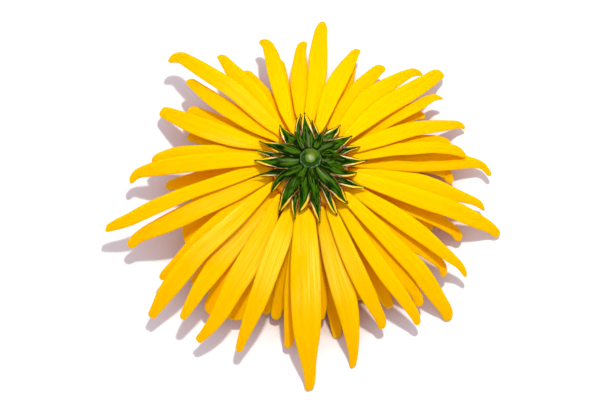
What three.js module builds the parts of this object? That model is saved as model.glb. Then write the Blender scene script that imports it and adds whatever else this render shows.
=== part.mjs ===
// A spray chrysanthemum bloom, cut close under the head and lying face down.
// Millimetres, +Z up. The packed inner florets rest on z = 0 and the outer ray
// florets spread over them like an umbrella, so the green involucre and the cut
// stem stub are on top. The origin is under the middle of the whole bloom.
import * as THREE from 'three';

// ---- driving dimensions (mm) ----
const AXIS_X = 1.26;            // flower axis, measured from the middle of the bloom
const AXIS_Y = 0.5;
const RAY_THICK_MID = 0.34;      // ray floret thickness at its midline
const RAY_THICK_EDGE = 0.20;     // and at its edges
const RAY_CUP = 0.16;            // edges droop by this share of the half width
const BRACT_THICK_MID = 0.24;
const BRACT_THICK_EDGE = 0.14;
const BRACT_CUP = 0.12;
const RECEPTACLE_R = 7.25;       // cushion that every floret grows from
const RECEPTACLE_BOTTOM = 15.3;
const DOME_BASE = 15.45;         // the dome rises from here as a bell: base + rise / (1 + (r / span)^3)
const DOME_RISE = 9.0;
const DOME_SPAN = 7.4;
const STUB_BOTTOM = 24.6;
const STUB_TOP = 26.3;           // cut face of the stem
const STUB_R = 2.05;             // stem radius at the cut
const STUB_FLARE = 0.1;
const CORE_TOP = 15.0;           // packed inner florets, below the cushion
const ROUND_SEGMENTS = 20;

// Each ray floret is a strip: [x, y, z, half width] from its claw on the
// receptacle rim to its tip. Clockwise from +Y, seen from above.
const RAY_FLORETS = [
  ["ray_floret_01", [[1.26, 8.1, 18.76, 0.62], [1.26, 12.32, 17.73, 0.85], [1.8, 16.36, 16.28, 1.46], [2.36, 20.31, 14.56, 1.74], [2.7, 24.25, 12.75, 1.92], [2.87, 28.31, 11.22, 1.87], [3.13, 32.23, 9.37, 1.66], [3.46, 35.97, 7.18, 1.37], [3.61, 37.43, 6.23, 1.16], [3.73, 38.55, 5.46, 0.76], [3.8, 39.18, 5.01, 0.53]]],
  ["ray_floret_02", [[2.61, 7.98, 19.7, 0.62], [3.61, 11.68, 18.75, 1.25], [4.66, 15.47, 17.37, 1.7], [5.78, 19.11, 15.66, 1.95], [7.05, 22.5, 13.6, 1.91], [8.32, 25.72, 11.28, 1.7], [9.53, 28.84, 8.79, 1.32], [10.74, 31.85, 6.16, 0.9], [10.93, 32.27, 5.77, 0.77], [11.09, 32.6, 5.46, 0.5], [11.18, 32.79, 5.28, 0.34]]],
  ["ray_floret_03", [[4.54, 7.35, 18.13, 0.62], [5.96, 10.6, 16.99, 1.17], [7.4, 13.9, 15.71, 1.54], [8.89, 17.09, 14.23, 1.71], [10.52, 20.12, 12.58, 1.72], [12.31, 22.9, 10.69, 1.61], [14.04, 25.57, 8.58, 1.41], [15.79, 28.07, 6.29, 1.1], [16.08, 28.37, 5.97, 0.94], [16.31, 28.6, 5.72, 0.61], [16.45, 28.73, 5.57, 0.42]]],
  ["ray_floret_04", [[5.62, 6.72, 18.83, 0.62], [7.82, 10.4, 17.63, 1.22], [10.03, 13.94, 16.12, 1.61], [12.26, 17.38, 14.38, 1.82], [14.94, 20.34, 12.42, 1.84], [17.72, 23.04, 10.25, 1.59], [20.45, 25.62, 7.86, 1.25], [23.55, 27.57, 5.4, 0.86], [23.93, 27.63, 5.19, 0.74], [24.24, 27.66, 5.02, 0.48], [24.41, 27.67, 4.93, 0.33]]],
  ["ray_floret_05", [[7.01, 5.47, 19.64, 0.62], [9.55, 8.82, 18.58, 1.17], [12.8, 12.46, 16.8, 1.72], [15.99, 15.91, 14.61, 1.99], [19.31, 19.03, 12.1, 2.08], [22.45, 22.1, 9.33, 1.95], [25.36, 25.17, 6.32, 1.73], [28.08, 28.21, 3.1, 1.37], [28.39, 28.47, 2.76, 1.18], [28.63, 28.66, 2.5, 0.77], [28.77, 28.77, 2.35, 0.53]]],
  ["ray_floret_06", [[7.01, 5.48, 16.86, 0.62], [10.07, 8.13, 16.1, 1.02], [13.17, 10.63, 15.02, 1.33], [16.15, 13.05, 13.51, 1.41], [19.22, 15.35, 11.98, 1.37], [22.23, 17.53, 10.18, 1.22], [24.85, 19.95, 8.11, 1.07], [27.77, 21.73, 5.85, 0.66], [28.06, 21.79, 5.66, 0.56], [28.29, 21.82, 5.51, 0.36], [28.43, 21.84, 5.43, 0.24]]],
  ["ray_floret_07", [[7.8, 4.37, 18.95, 0.62], [11.82, 6.53, 17.85, 1.37], [15.7, 8.56, 16.17, 1.65], [19.28, 10.66, 13.96, 1.68], [22.67, 12.59, 11.35, 1.62], [26.08, 14.18, 8.53, 1.49], [29.39, 15.66, 5.54, 1.23], [32.66, 16.85, 2.41, 0.78], [32.93, 16.86, 2.17, 0.67], [33.13, 16.87, 1.99, 0.43], [33.25, 16.87, 1.89, 0.3]]],
  ["ray_floret_08", [[8.02, 3.97, 17.4, 0.62], [11.31, 5.37, 16.39, 1.05], [14.53, 6.69, 15.07, 1.35], [17.65, 8.01, 13.54, 1.53], [20.68, 9.23, 11.76, 1.58], [23.57, 10.4, 9.73, 1.5], [26.34, 11.45, 7.49, 1.32], [29.12, 12.06, 5.09, 0.89], [29.52, 12.08, 4.75, 0.74], [29.83, 12.08, 4.48, 0.46], [30.01, 12.07, 4.33, 0.31]]],
  ["ray_floret_09", [[8.22, 3.56, 18.25, 0.62], [11.28, 4.39, 17.37, 1.07], [14.94, 5.6, 15.99, 1.21], [18.48, 6.82, 14.34, 1.31], [22.14, 7.73, 12.73, 1.37], [25.57, 8.72, 10.72, 1.29], [28.86, 9.4, 8.37, 1.28], [32.04, 9.51, 5.79, 1.01], [32.5, 9.45, 5.4, 0.86], [32.86, 9.4, 5.09, 0.56], [33.06, 9.36, 4.91, 0.38]]],
  ["ray_floret_10", [[8.41, 3.07, 16.65, 0.62], [10.71, 3.27, 15.72, 1], [15.45, 4.26, 13.76, 1.59], [19.91, 5.3, 11.26, 2], [24.13, 6.43, 8.39, 2.12], [28.49, 7.56, 5.75, 1.95], [33.44, 7.98, 4.24, 1.37], [37.85, 5.96, 3.23, 0.52], [37.96, 5.71, 3.2, 0.45], [38.04, 5.5, 3.18, 0.29], [38.09, 5.38, 3.17, 0.2]]],
  ["ray_floret_11", [[8.86, 0.38, 18.57, 0.62], [10.21, 0.14, 18.24, 1.11], [15.03, 0.1, 16.66, 1.58], [19.7, 0.18, 14.67, 1.78], [24.18, 0.22, 12.31, 1.87], [28.45, -0.33, 9.63, 1.71], [32.54, -0.69, 6.65, 1.15], [36.37, -1.48, 3.46, 0.68], [36.56, -1.58, 3.3, 0.59], [36.7, -1.66, 3.17, 0.38], [36.78, -1.71, 3.1, 0.26]]],
  ["ray_floret_12", [[8.8, -0.47, 19.47, 0.62], [10.74, -1.06, 18.98, 1.22], [16.03, -2.09, 17.13, 1.7], [21.12, -3, 14.77, 1.98], [26.02, -3.66, 11.95, 2.06], [30.69, -4.25, 8.75, 1.95], [35.1, -5.12, 5.26, 1.66], [39.18, -6.47, 1.58, 0.91], [39.4, -6.64, 1.36, 0.77], [39.57, -6.77, 1.18, 0.49], [39.67, -6.85, 1.08, 0.33]]],
  ["ray_floret_13", [[8.74, -0.84, 15.85, 0.62], [9.86, -1.45, 15.3, 0.9], [14, -2.76, 14.77, 1.29], [18, -3.82, 13.34, 1.58], [21.76, -4.63, 11.25, 1.65], [25.28, -5.34, 8.74, 1.53], [28.52, -6.24, 5.94, 1.29], [31.33, -7.79, 3.03, 0.98], [31.49, -8.02, 2.81, 0.85], [31.61, -8.21, 2.64, 0.55], [31.68, -8.32, 2.55, 0.38]]],
  ["ray_floret_14", [[8.19, -2.61, 18.75, 0.62], [8.56, -2.81, 18.58, 1.07], [13.02, -4.98, 17.15, 1.47], [17.35, -7.18, 15.44, 1.79], [21.48, -9.37, 13.27, 1.84], [25.36, -11.56, 10.69, 1.54], [29.05, -13.68, 7.79, 1.15], [32.23, -16.18, 4.68, 0.53], [32.33, -16.37, 4.53, 0.44], [32.41, -16.52, 4.41, 0.28], [32.45, -16.61, 4.34, 0.19]]],
  ["ray_floret_15", [[7.92, -3.16, 17.25, 0.62], [9.21, -4.26, 16.46, 0.93], [12.7, -6.62, 15.5, 1.21], [16.14, -8.77, 13.97, 1.41], [19.47, -10.66, 11.97, 1.52], [22.76, -12.21, 9.62, 1.4], [25.9, -13.63, 7.01, 1.18], [28.01, -16.09, 4.41, 0.67], [28, -16.34, 4.29, 0.55], [27.99, -16.55, 4.2, 0.35], [27.98, -16.67, 4.15, 0.23]]],
  ["ray_floret_16", [[7.23, -4.2, 19.73, 0.62], [10.16, -6.81, 18.5, 1.26], [13.78, -9.82, 16.43, 1.53], [17.25, -12.71, 13.95, 1.71], [20.69, -15.28, 11.13, 1.93], [23.78, -17.99, 8.04, 1.92], [26.47, -20.86, 4.73, 1.67], [28.87, -23.75, 1.24, 1.18], [29.02, -24.12, 0.89, 1], [29.13, -24.41, 0.61, 0.65], [29.18, -24.58, 0.46, 0.44]]],
  ["ray_floret_17", [[6.56, -4.94, 17.73, 0.62], [7.42, -6.19, 17.36, 0.96], [10.12, -9.25, 15.96, 1.39], [12.87, -12.12, 14.31, 1.63], [15.68, -14.73, 12.33, 1.66], [18.45, -17.08, 10.02, 1.54], [21.05, -19.34, 7.44, 1.34], [22.89, -22.05, 4.7, 0.95], [22.95, -22.4, 4.43, 0.81], [22.97, -22.68, 4.23, 0.52], [22.98, -22.85, 4.11, 0.36]]],
  ["ray_floret_18", [[6.26, -5.22, 18.66, 0.62], [8.05, -7.9, 17.7, 1.11], [10.45, -11.36, 16.18, 1.35], [12.89, -14.66, 14.41, 1.5], [15.4, -17.73, 12.33, 1.58], [17.95, -20.56, 9.98, 1.51], [20.44, -23.24, 7.4, 1.27], [22.47, -26.1, 4.65, 0.77], [22.58, -26.35, 4.43, 0.64], [22.65, -26.55, 4.25, 0.4], [22.7, -26.67, 4.16, 0.27]]],
  ["ray_floret_19", [[4.89, -6.18, 19.34, 0.62], [5.18, -7.51, 19.04, 1], [6.81, -11.32, 17.5, 1.35], [8.5, -14.85, 15.44, 1.62], [10.28, -18.11, 13.05, 1.75], [12.09, -21.12, 10.37, 1.71], [13.93, -23.89, 7.46, 1.38], [15.44, -26.65, 4.38, 0.9], [15.49, -26.97, 4.07, 0.76], [15.52, -27.21, 3.83, 0.48], [15.54, -27.35, 3.7, 0.33]]],
  ["ray_floret_20", [[3.36, -6.8, 18.42, 0.62], [3.34, -7.7, 18.12, 1.02], [4.64, -12.54, 16.16, 1.7], [5.97, -17.12, 13.68, 2.08], [7.53, -21.41, 10.85, 2.3], [8.83, -25.66, 7.84, 2.05], [9.54, -29.81, 4.5, 1.37], [9.68, -33.78, 0.89, 0.67], [9.65, -34.1, 0.59, 0.55], [9.62, -34.34, 0.36, 0.35], [9.61, -34.48, 0.22, 0.23]]],
  ["ray_floret_21", [[-0.55, -6.88, 19.75, 0.62], [0.06, -8.79, 19.42, 1.79], [0.16, -14.37, 17.6, 2.57], [0.26, -19.63, 15, 2.93], [0.39, -24.66, 11.98, 2.97], [0.57, -29.47, 8.63, 2.65], [0.87, -34.07, 5, 1.63], [1.11, -38.45, 1.13, 0.93], [1.06, -38.77, 0.83, 0.8], [1.02, -39.02, 0.59, 0.52], [1, -39.16, 0.46, 0.36]]],
  ["ray_floret_22", [[-0.6, -6.87, 17.89, 0.62], [-1.28, -10.59, 16.56, 0.84], [-1.77, -14.2, 14.91, 1.09], [-2.17, -17.68, 12.96, 1.27], [-2.45, -21.02, 10.76, 1.41], [-2.64, -24.22, 8.35, 1.36], [-2.8, -27.28, 5.77, 1.2], [-3.1, -30.19, 3.04, 0.9], [-3.18, -30.49, 2.73, 0.77], [-3.25, -30.72, 2.49, 0.5], [-3.29, -30.86, 2.35, 0.34]]],
  ["ray_floret_23", [[-1.1, -6.72, 17.09, 0.62], [-1.91, -9.72, 15.95, 0.76], [-2.52, -12.59, 14.43, 1], [-3.16, -15.27, 12.58, 1.27], [-3.78, -17.76, 10.49, 1.47], [-4.33, -20.09, 8.2, 1.45], [-4.96, -22.26, 5.78, 1.33], [-5.64, -24.29, 3.25, 1.06], [-5.7, -24.61, 2.84, 0.91], [-5.73, -24.86, 2.51, 0.6], [-5.74, -25, 2.33, 0.41]]],
  ["ray_floret_24", [[-2.49, -6.11, 19.03, 0.62], [-2.76, -7.74, 18.64, 1.21], [-4.35, -12.2, 17.34, 2.05], [-6.08, -16.55, 15.88, 2.15], [-7.73, -20.7, 13.86, 2.05], [-9.41, -24.54, 11.31, 1.85], [-11.14, -28.15, 8.49, 1.35], [-12.75, -31.68, 5.48, 0.79], [-12.87, -32, 5.21, 0.66], [-12.96, -32.24, 4.99, 0.42], [-13.01, -32.38, 4.87, 0.29]]],
  ["ray_floret_25", [[-4.38, -4.6, 16.06, 0.62], [-6.42, -7.31, 15.07, 1.27], [-7.6, -10.52, 13.81, 1.87], [-8.88, -13.63, 12.41, 2.42], [-10.21, -16.62, 10.8, 2.68], [-11.52, -19.42, 8.88, 2.53], [-12.74, -22.07, 6.7, 2.32], [-13.66, -24.69, 4.33, 2.16], [-13.76, -25.07, 3.98, 1.9], [-13.83, -25.36, 3.71, 1.26], [-13.87, -25.53, 3.55, 0.88]]],
  ["ray_floret_26", [[-4.57, -4.38, 18.49, 0.62], [-6.48, -8.44, 17.29, 1.45], [-8.36, -12.58, 15.83, 2.15], [-10.64, -16.43, 14.2, 2.49], [-13.11, -20.13, 12.49, 2.31], [-15.35, -23.84, 10.49, 1.93], [-17.75, -27.26, 8.21, 1.42], [-20.71, -30.04, 5.73, 0.83], [-20.89, -30.17, 5.59, 0.71], [-21.03, -30.27, 5.48, 0.46], [-21.12, -30.33, 5.41, 0.32]]],
  ["ray_floret_27", [[-5.3, -3.34, 17.81, 0.62], [-7.27, -5.91, 16.92, 1.14], [-10.19, -9.17, 15.57, 1.65], [-13.16, -12.26, 13.97, 1.96], [-16.15, -15.42, 12.55, 2.15], [-18.86, -18.92, 11.38, 1.86], [-21.4, -22.44, 9.94, 1.42], [-23.67, -25.96, 8.11, 0.82], [-23.82, -26.23, 7.95, 0.68], [-23.94, -26.45, 7.83, 0.43], [-24.01, -26.57, 7.76, 0.29]]],
  ["ray_floret_28", [[-5.79, -2.33, 19.25, 0.62], [-9.75, -5.57, 18.18, 1.32], [-13.56, -8.87, 16.74, 1.73], [-17.44, -11.9, 14.96, 1.89], [-21.23, -14.85, 12.86, 2.08], [-24.53, -18.18, 10.52, 2.08], [-27.59, -21.57, 7.94, 1.71], [-30.27, -25.12, 5.18, 0.88], [-30.36, -25.24, 5.08, 0.76], [-30.43, -25.33, 5, 0.5], [-30.47, -25.38, 4.96, 0.34]]],
  ["ray_floret_29", [[-6.25, -0.67, 17.81, 0.62], [-10.58, -1.75, 16.73, 1.44], [-14.78, -3.35, 15.76, 1.87], [-18.97, -4.77, 14.5, 2], [-23.05, -6.19, 12.9, 2.07], [-27.04, -7.49, 11.01, 1.95], [-30.97, -8.6, 8.89, 1.56], [-34.51, -10.38, 6.62, 1.01], [-34.79, -10.65, 6.41, 0.86], [-34.99, -10.87, 6.24, 0.56], [-35.1, -11, 6.15, 0.38]]],
  ["ray_floret_30", [[-6.3, 1.3, 18.35, 0.62], [-11.27, 0.62, 17.41, 1.2], [-16.14, -0.78, 16.52, 1.42], [-20.98, -2.08, 15.34, 1.42], [-25.7, -3.45, 13.86, 1.55], [-30.32, -4.9, 12.1, 1.6], [-34.78, -6.5, 10.12, 1.4], [-39.29, -7.61, 7.91, 0.83], [-39.51, -7.67, 7.79, 0.69], [-39.69, -7.72, 7.7, 0.44], [-39.79, -7.74, 7.65, 0.3]]],
  ["ray_floret_31", [[-6.09, 2.43, 19.2, 0.62], [-10.59, 3.08, 18.55, 1.36], [-14.97, 3.46, 17.17, 1.69], [-19.21, 3.84, 15.37, 1.87], [-23.36, 4.18, 13.39, 1.95], [-27.42, 4.49, 11.23, 1.86], [-31.41, 4.48, 8.9, 1.47], [-35.02, 3.23, 6.65, 0.7], [-35.16, 3, 6.57, 0.58], [-35.26, 2.8, 6.51, 0.36], [-35.32, 2.69, 6.48, 0.25]]],
  ["ray_floret_32", [[-5.74, 3.46, 17.43, 0.62], [-9.11, 4.59, 16.5, 1.11], [-12.54, 5.29, 15.36, 1.58], [-15.95, 5.96, 14.11, 1.86], [-19.46, 6.35, 13.09, 2.01], [-22.93, 6.71, 11.91, 2.01], [-26.32, 6.9, 10.49, 1.88], [-29.63, 6.84, 8.86, 1.36], [-30.17, 6.83, 8.57, 1.08], [-30.59, 6.81, 8.34, 0.65], [-30.83, 6.8, 8.21, 0.42]]],
  ["ray_floret_33", [[-5.17, 4.55, 18.31, 0.62], [-9.05, 6.58, 17.25, 1.05], [-12.99, 8.32, 15.86, 1.75], [-16.61, 10.35, 14.07, 2.11], [-20.02, 12.43, 11.95, 2.18], [-23.2, 14.65, 9.61, 2.03], [-26.18, 16.91, 7.07, 1.69], [-29.04, 19.14, 4.37, 1.33], [-29.31, 19.35, 4.09, 1.15], [-29.52, 19.51, 3.88, 0.75], [-29.65, 19.61, 3.76, 0.52]]],
  ["ray_floret_34", [[-4.75, 5.15, 17.45, 0.62], [-7.66, 6.96, 16.64, 0.93], [-10.55, 8.7, 15.54, 1.42], [-13.19, 10.65, 14.2, 1.76], [-15.81, 12.49, 12.66, 1.86], [-18.31, 14.33, 10.96, 1.75], [-20.71, 16.2, 9.12, 1.59], [-22.98, 18.13, 7.2, 1.34], [-23.3, 18.42, 6.91, 1.14], [-23.55, 18.65, 6.68, 0.73], [-23.69, 18.78, 6.55, 0.5]]],
  ["ray_floret_35", [[-3.95, 6.03, 18.49, 0.62], [-6.81, 8.69, 17.72, 0.98], [-9.96, 10.97, 16.75, 1.46], [-12.87, 13.46, 15.58, 1.69], [-15.73, 15.91, 14.22, 1.71], [-18.43, 18.45, 12.68, 1.58], [-20.93, 21.07, 10.98, 1.32], [-23.28, 23.73, 9.12, 0.95], [-23.53, 24.02, 8.91, 0.81], [-23.73, 24.25, 8.75, 0.53], [-23.84, 24.38, 8.65, 0.36]]],
  ["ray_floret_36", [[-3.25, 6.62, 19.23, 0.62], [-6.5, 10.38, 18.4, 1.2], [-9.71, 14.13, 17.31, 1.62], [-12.86, 17.84, 15.97, 1.79], [-16.28, 21.21, 14.42, 1.83], [-19.85, 24.32, 12.65, 1.73], [-23.33, 27.4, 10.67, 1.52], [-27.28, 29.26, 8.74, 0.95], [-27.61, 29.06, 8.69, 0.76], [-27.87, 28.87, 8.67, 0.46], [-28.03, 28.76, 8.65, 0.3]]],
  ["ray_floret_37", [[-2.77, 6.94, 17.89, 0.62], [-4.99, 10.42, 17.14, 1], [-7.17, 13.87, 16.2, 1.58], [-9.22, 17.3, 14.94, 1.94], [-11.33, 20.57, 13.41, 2.02], [-13.41, 23.75, 11.64, 1.82], [-15.35, 26.91, 9.69, 1.38], [-17.13, 30.04, 7.56, 0.9], [-17.28, 30.3, 7.38, 0.77], [-17.4, 30.5, 7.23, 0.5], [-17.47, 30.61, 7.15, 0.34]]],
  ["ray_floret_38", [[-2.18, 7.28, 17.16, 0.62], [-3.67, 10.2, 16.49, 0.78], [-5.12, 13.12, 15.7, 1.2], [-6.52, 15.96, 14.62, 1.59], [-7.94, 18.64, 13.2, 1.74], [-9.39, 21.18, 11.57, 1.65], [-10.79, 23.64, 9.78, 1.52], [-12.07, 26.07, 7.86, 1.31], [-12.25, 26.45, 7.54, 1.12], [-12.39, 26.75, 7.3, 0.72], [-12.47, 26.92, 7.16, 0.49]]],
  ["ray_floret_39", [[-1.54, 7.57, 18.99, 0.62], [-3.06, 11.42, 18.06, 0.82], [-4, 15.39, 16.86, 1.35], [-4.8, 19.3, 15.38, 1.6], [-5.58, 23.11, 13.66, 1.69], [-6.24, 26.83, 11.73, 1.62], [-7.01, 30.42, 9.59, 1.4], [-8.49, 33.64, 7.33, 0.89], [-8.74, 33.82, 7.16, 0.72], [-8.95, 33.95, 7.03, 0.45], [-9.08, 34.03, 6.95, 0.3]]],
  ["ray_floret_40", [[0.06, 8, 18.04, 0.62], [-0.55, 11.8, 17.07, 0.71], [-0.95, 15.54, 15.85, 1.15], [-1.03, 19.21, 14.34, 1.58], [-1.01, 22.8, 12.66, 1.82], [-0.9, 26.4, 11, 1.59], [-0.8, 29.84, 9.04, 1.25], [-0.37, 33.12, 6.85, 0.97], [-0.24, 33.61, 6.5, 0.83], [-0.13, 33.98, 6.23, 0.54], [-0.06, 34.19, 6.08, 0.37]]]
];

// The bracts of the involucre, from beside the stem outwards.
const BRACTS = [
  ["bract_01", [[3.54, 4.11, 24.51, 0.77], [4.04, 4.97, 23.52, 0.87], [4.57, 5.87, 22.59, 0.99], [5.13, 6.84, 21.74, 1.15], [5.74, 7.74, 20.85, 1.11], [6.33, 8.63, 19.94, 0.83], [6.79, 9.61, 19.05, 0.38], [7.21, 10.39, 18.32, 0.12]]],
  ["bract_02", [[2.84, 2.4, 24.88, 0.58], [4.3, 2.87, 25.01, 1.05], [5.49, 3.57, 24.36, 1.34], [6.39, 4.35, 23.37, 1.35], [7.23, 5.2, 22.4, 1.3], [8.02, 6.06, 21.38, 0.97], [8.82, 6.88, 20.34, 0.51], [9.45, 7.57, 19.5, 0.12]]],
  ["bract_03", [[5.55, 2.34, 23.26, 0.68], [6.26, 2.81, 22.5, 0.75], [7.05, 3.31, 21.84, 0.79], [7.82, 3.86, 21.2, 0.8], [8.62, 4.37, 20.55, 0.77], [9.45, 4.83, 19.92, 0.63], [10.34, 5.18, 19.28, 0.41], [11.05, 5.51, 18.77, 0.12]]],
  ["bract_04", [[4.56, 1.02, 24.33, 0.87], [6.02, 0.94, 23.85, 1.09], [7.25, 1.06, 22.92, 1.24], [8.37, 1.35, 21.9, 1.25], [9.46, 1.71, 20.88, 1.09], [10.54, 2.09, 19.85, 0.72], [11.6, 2.54, 18.81, 0.33], [12.44, 2.97, 17.98, 0.12]]],
  ["bract_05", [[3.47, -0.45, 24.76, 0.61], [4.73, -0.88, 24.61, 0.92], [5.91, -1.33, 24.19, 1.09], [6.9, -1.42, 23.29, 1.07], [7.82, -1.4, 22.33, 0.96], [8.74, -1.13, 21.38, 0.76], [9.63, -0.73, 20.45, 0.44], [10.33, -0.34, 19.7, 0.12]]],
  ["bract_06", [[5.04, -2.07, 23.34, 0.6], [6, -2.47, 22.64, 0.66], [7.01, -2.75, 21.95, 0.76], [8.06, -2.91, 21.3, 0.91], [9.12, -3.09, 20.65, 0.85], [10.19, -3.15, 20.01, 0.66], [11.26, -3.13, 19.37, 0.35], [12.14, -3.15, 18.84, 0.12]]],
  ["bract_07", [[2.58, -1.6, 25.1, 0.53], [3.53, -2.68, 24.88, 0.91], [4.46, -3.5, 24.14, 1.1], [5.4, -4.22, 23.3, 1.33], [6.28, -4.9, 22.37, 1.33], [7.03, -5.59, 21.34, 1.15], [7.83, -6.21, 20.3, 0.66], [8.59, -6.58, 19.47, 0.12]]],
  ["bract_08", [[3.18, -3.62, 23.37, 0.59], [3.82, -4.29, 22.73, 0.64], [4.33, -5.05, 22.08, 0.69], [4.69, -5.89, 21.43, 0.76], [5.11, -6.71, 20.79, 0.83], [5.54, -7.52, 20.14, 0.77], [6.03, -8.3, 19.5, 0.51], [6.46, -8.92, 18.98, 0.12]]],
  ["bract_09", [[1.64, -5.23, 22.2, 0.66], [1.95, -5.97, 21.65, 0.9], [2.17, -6.74, 21.1, 0.99], [2.3, -7.54, 20.55, 0.95], [2.47, -8.32, 20, 0.81], [2.7, -9.1, 19.45, 0.58], [2.94, -9.76, 18.8, 0.3], [3.1, -10.25, 18.19, 0.12]]],
  ["bract_10", [[1.34, -2.11, 25.46, 0.51], [1.51, -3.13, 25.27, 0.79], [1.7, -3.99, 24.68, 0.87], [1.89, -4.8, 24.01, 0.89], [2.11, -5.61, 23.35, 0.82], [2.29, -6.35, 22.61, 0.68], [2.44, -7.03, 21.8, 0.4], [2.57, -7.58, 21.14, 0.12]]],
  ["bract_11", [[0.55, -1.84, 25, 0.48], [0.39, -3.06, 24.71, 0.84], [0.23, -4.09, 23.97, 0.97], [0.17, -5.08, 23.15, 1.13], [0.09, -6.08, 22.36, 1.18], [-0.15, -7.1, 21.62, 1.06], [-0.59, -8.04, 20.88, 0.63], [-1.01, -8.79, 20.28, 0.12]]],
  ["bract_12", [[-0.48, -2.25, 24.36, 0.67], [-1.28, -3.08, 23.6, 0.87], [-2.05, -3.99, 22.9, 1.1], [-2.8, -4.94, 22.23, 1.27], [-3.43, -5.98, 21.57, 1.25], [-3.95, -6.87, 20.65, 0.98], [-4.49, -7.57, 19.58, 0.53], [-4.75, -8.22, 18.69, 0.12]]],
  ["bract_13", [[-0.79, -1.23, 24.98, 0.48], [-1.91, -1.71, 24.52, 0.79], [-3.01, -2.07, 23.93, 0.85], [-3.99, -2.31, 23.09, 0.86], [-4.84, -2.71, 22.19, 0.83], [-5.5, -3.22, 21.19, 0.76], [-6.06, -3.81, 20.17, 0.47], [-6.48, -4.34, 19.34, 0.12]]],
  ["bract_14", [[-1.12, 0.13, 24.76, 0.64], [-2.6, 0.28, 24.26, 1.02], [-4.04, 0.46, 23.69, 1.16], [-5.32, 0.79, 22.85, 1.28], [-6.58, 1.16, 21.99, 1.27], [-7.76, 1.59, 21.06, 0.94], [-8.9, 2.05, 20.08, 0.49], [-9.81, 2.48, 19.29, 0.12]]],
  ["bract_15", [[-0.85, 1.71, 25.06, 0.6], [-2.4, 2.48, 24.57, 0.91], [-3.75, 3.32, 23.7, 0.95], [-4.94, 4.08, 22.56, 0.87], [-5.99, 4.85, 21.31, 0.78], [-7.05, 5.62, 20.06, 0.64], [-8.12, 6.41, 18.82, 0.36], [-8.94, 7.15, 17.84, 0.12]]],
  ["bract_16", [[-1.02, 3.01, 24.29, 0.84], [-1.8, 3.99, 23.64, 1.02], [-2.52, 4.99, 22.97, 1.19], [-3.07, 6, 22.15, 1.23], [-3.59, 7.04, 21.34, 1.14], [-4.07, 8.09, 20.54, 0.82], [-4.52, 9.17, 19.75, 0.44], [-4.81, 10.09, 19.11, 0.12]]],
  ["bract_17", [[0.93, 2.95, 24.92, 0.77], [0.78, 4.7, 24.37, 1.09], [0.67, 6.35, 23.55, 1.14], [0.52, 7.82, 22.44, 1.19], [0.38, 9.29, 21.33, 1.14], [0.23, 10.73, 20.18, 0.88], [0.1, 12.11, 18.96, 0.45], [0.08, 13.24, 17.95, 0.12]]]
];

const mats = {
  ray: new THREE.MeshStandardMaterial({ color: 0xffc905, roughness: 0.55, metalness: 0.0 }),
  bract: new THREE.MeshStandardMaterial({ color: 0x35611a, roughness: 0.6, metalness: 0.0 }),
  stem: new THREE.MeshStandardMaterial({ color: 0x6f9a35, roughness: 0.5, metalness: 0.0 }),
  receptacle: new THREE.MeshStandardMaterial({ color: 0x7f9a45, roughness: 0.7, metalness: 0.0 }),
  core: new THREE.MeshStandardMaterial({ color: 0xf0b400, roughness: 0.6, metalness: 0.0 }),
};

// A thin closed strip along a row of stations: a lens-like section of six
// points at each station, joined to the next, with both ends closed.
function strip(stations, mid, edge, cup) {
  const n = stations.length;
  const pts = stations.map(([x, y, z]) => new THREE.Vector3(x, y, z));
  const pos = [];
  for (let i = 0; i < n; i++) {
    const t = pts[Math.min(i + 1, n - 1)].clone().sub(pts[Math.max(i - 1, 0)]).normalize();
    const side = new THREE.Vector3(-t.y, t.x, 0).normalize();
    const up = new THREE.Vector3().crossVectors(t, side);
    if (up.z < 0) up.negate();
    const w = stations[i][3];
    const put = (s, h) => {
      const p = pts[i].clone().addScaledVector(side, s * w).addScaledVector(up, h);
      pos.push(p.x, p.y, p.z);
    };
    const drop = -cup * w;
    put(1, drop + edge / 2);
    put(0, mid / 2);
    put(-1, drop + edge / 2);
    put(-1, drop - edge / 2);
    put(0, -mid / 2);
    put(1, drop - edge / 2);
  }
  const idx = [];
  for (let i = 0; i < n - 1; i++) {
    for (let k = 0; k < 6; k++) {
      const a = i * 6 + k, b = i * 6 + ((k + 1) % 6), c = a + 6, d = b + 6;
      idx.push(a, b, d, a, d, c);
    }
  }
  const e = (n - 1) * 6;
  idx.push(0, 5, 4, 0, 4, 1, 1, 4, 3, 1, 3, 2);
  idx.push(e, e + 4, e + 5, e, e + 1, e + 4, e + 1, e + 3, e + 4, e + 1, e + 2, e + 3);
  const g = new THREE.BufferGeometry();
  g.setAttribute('position', new THREE.Float32BufferAttribute(pos, 3));
  g.setIndex(idx);
  g.computeVertexNormals();
  return g;
}

function lathe(profile) {
  const g = new THREE.LatheGeometry(profile.map(([r, z]) => new THREE.Vector2(r, z)), ROUND_SEGMENTS);
  g.rotateX(Math.PI / 2);
  return g;
}

const flower = new THREE.Group();
flower.name = 'chrysanthemum';

function add(name, geometry, material, x = 0, y = 0) {
  const m = new THREE.Mesh(geometry, material);
  m.name = name;
  m.position.set(x, y, 0);
  flower.add(m);
  return m;
}

for (const [name, stations] of RAY_FLORETS) {
  add(name, strip(stations, RAY_THICK_MID, RAY_THICK_EDGE, RAY_CUP), mats.ray);
}
for (const [name, stations] of BRACTS) {
  add(name, strip(stations, BRACT_THICK_MID, BRACT_THICK_EDGE, BRACT_CUP), mats.bract);
}

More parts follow.
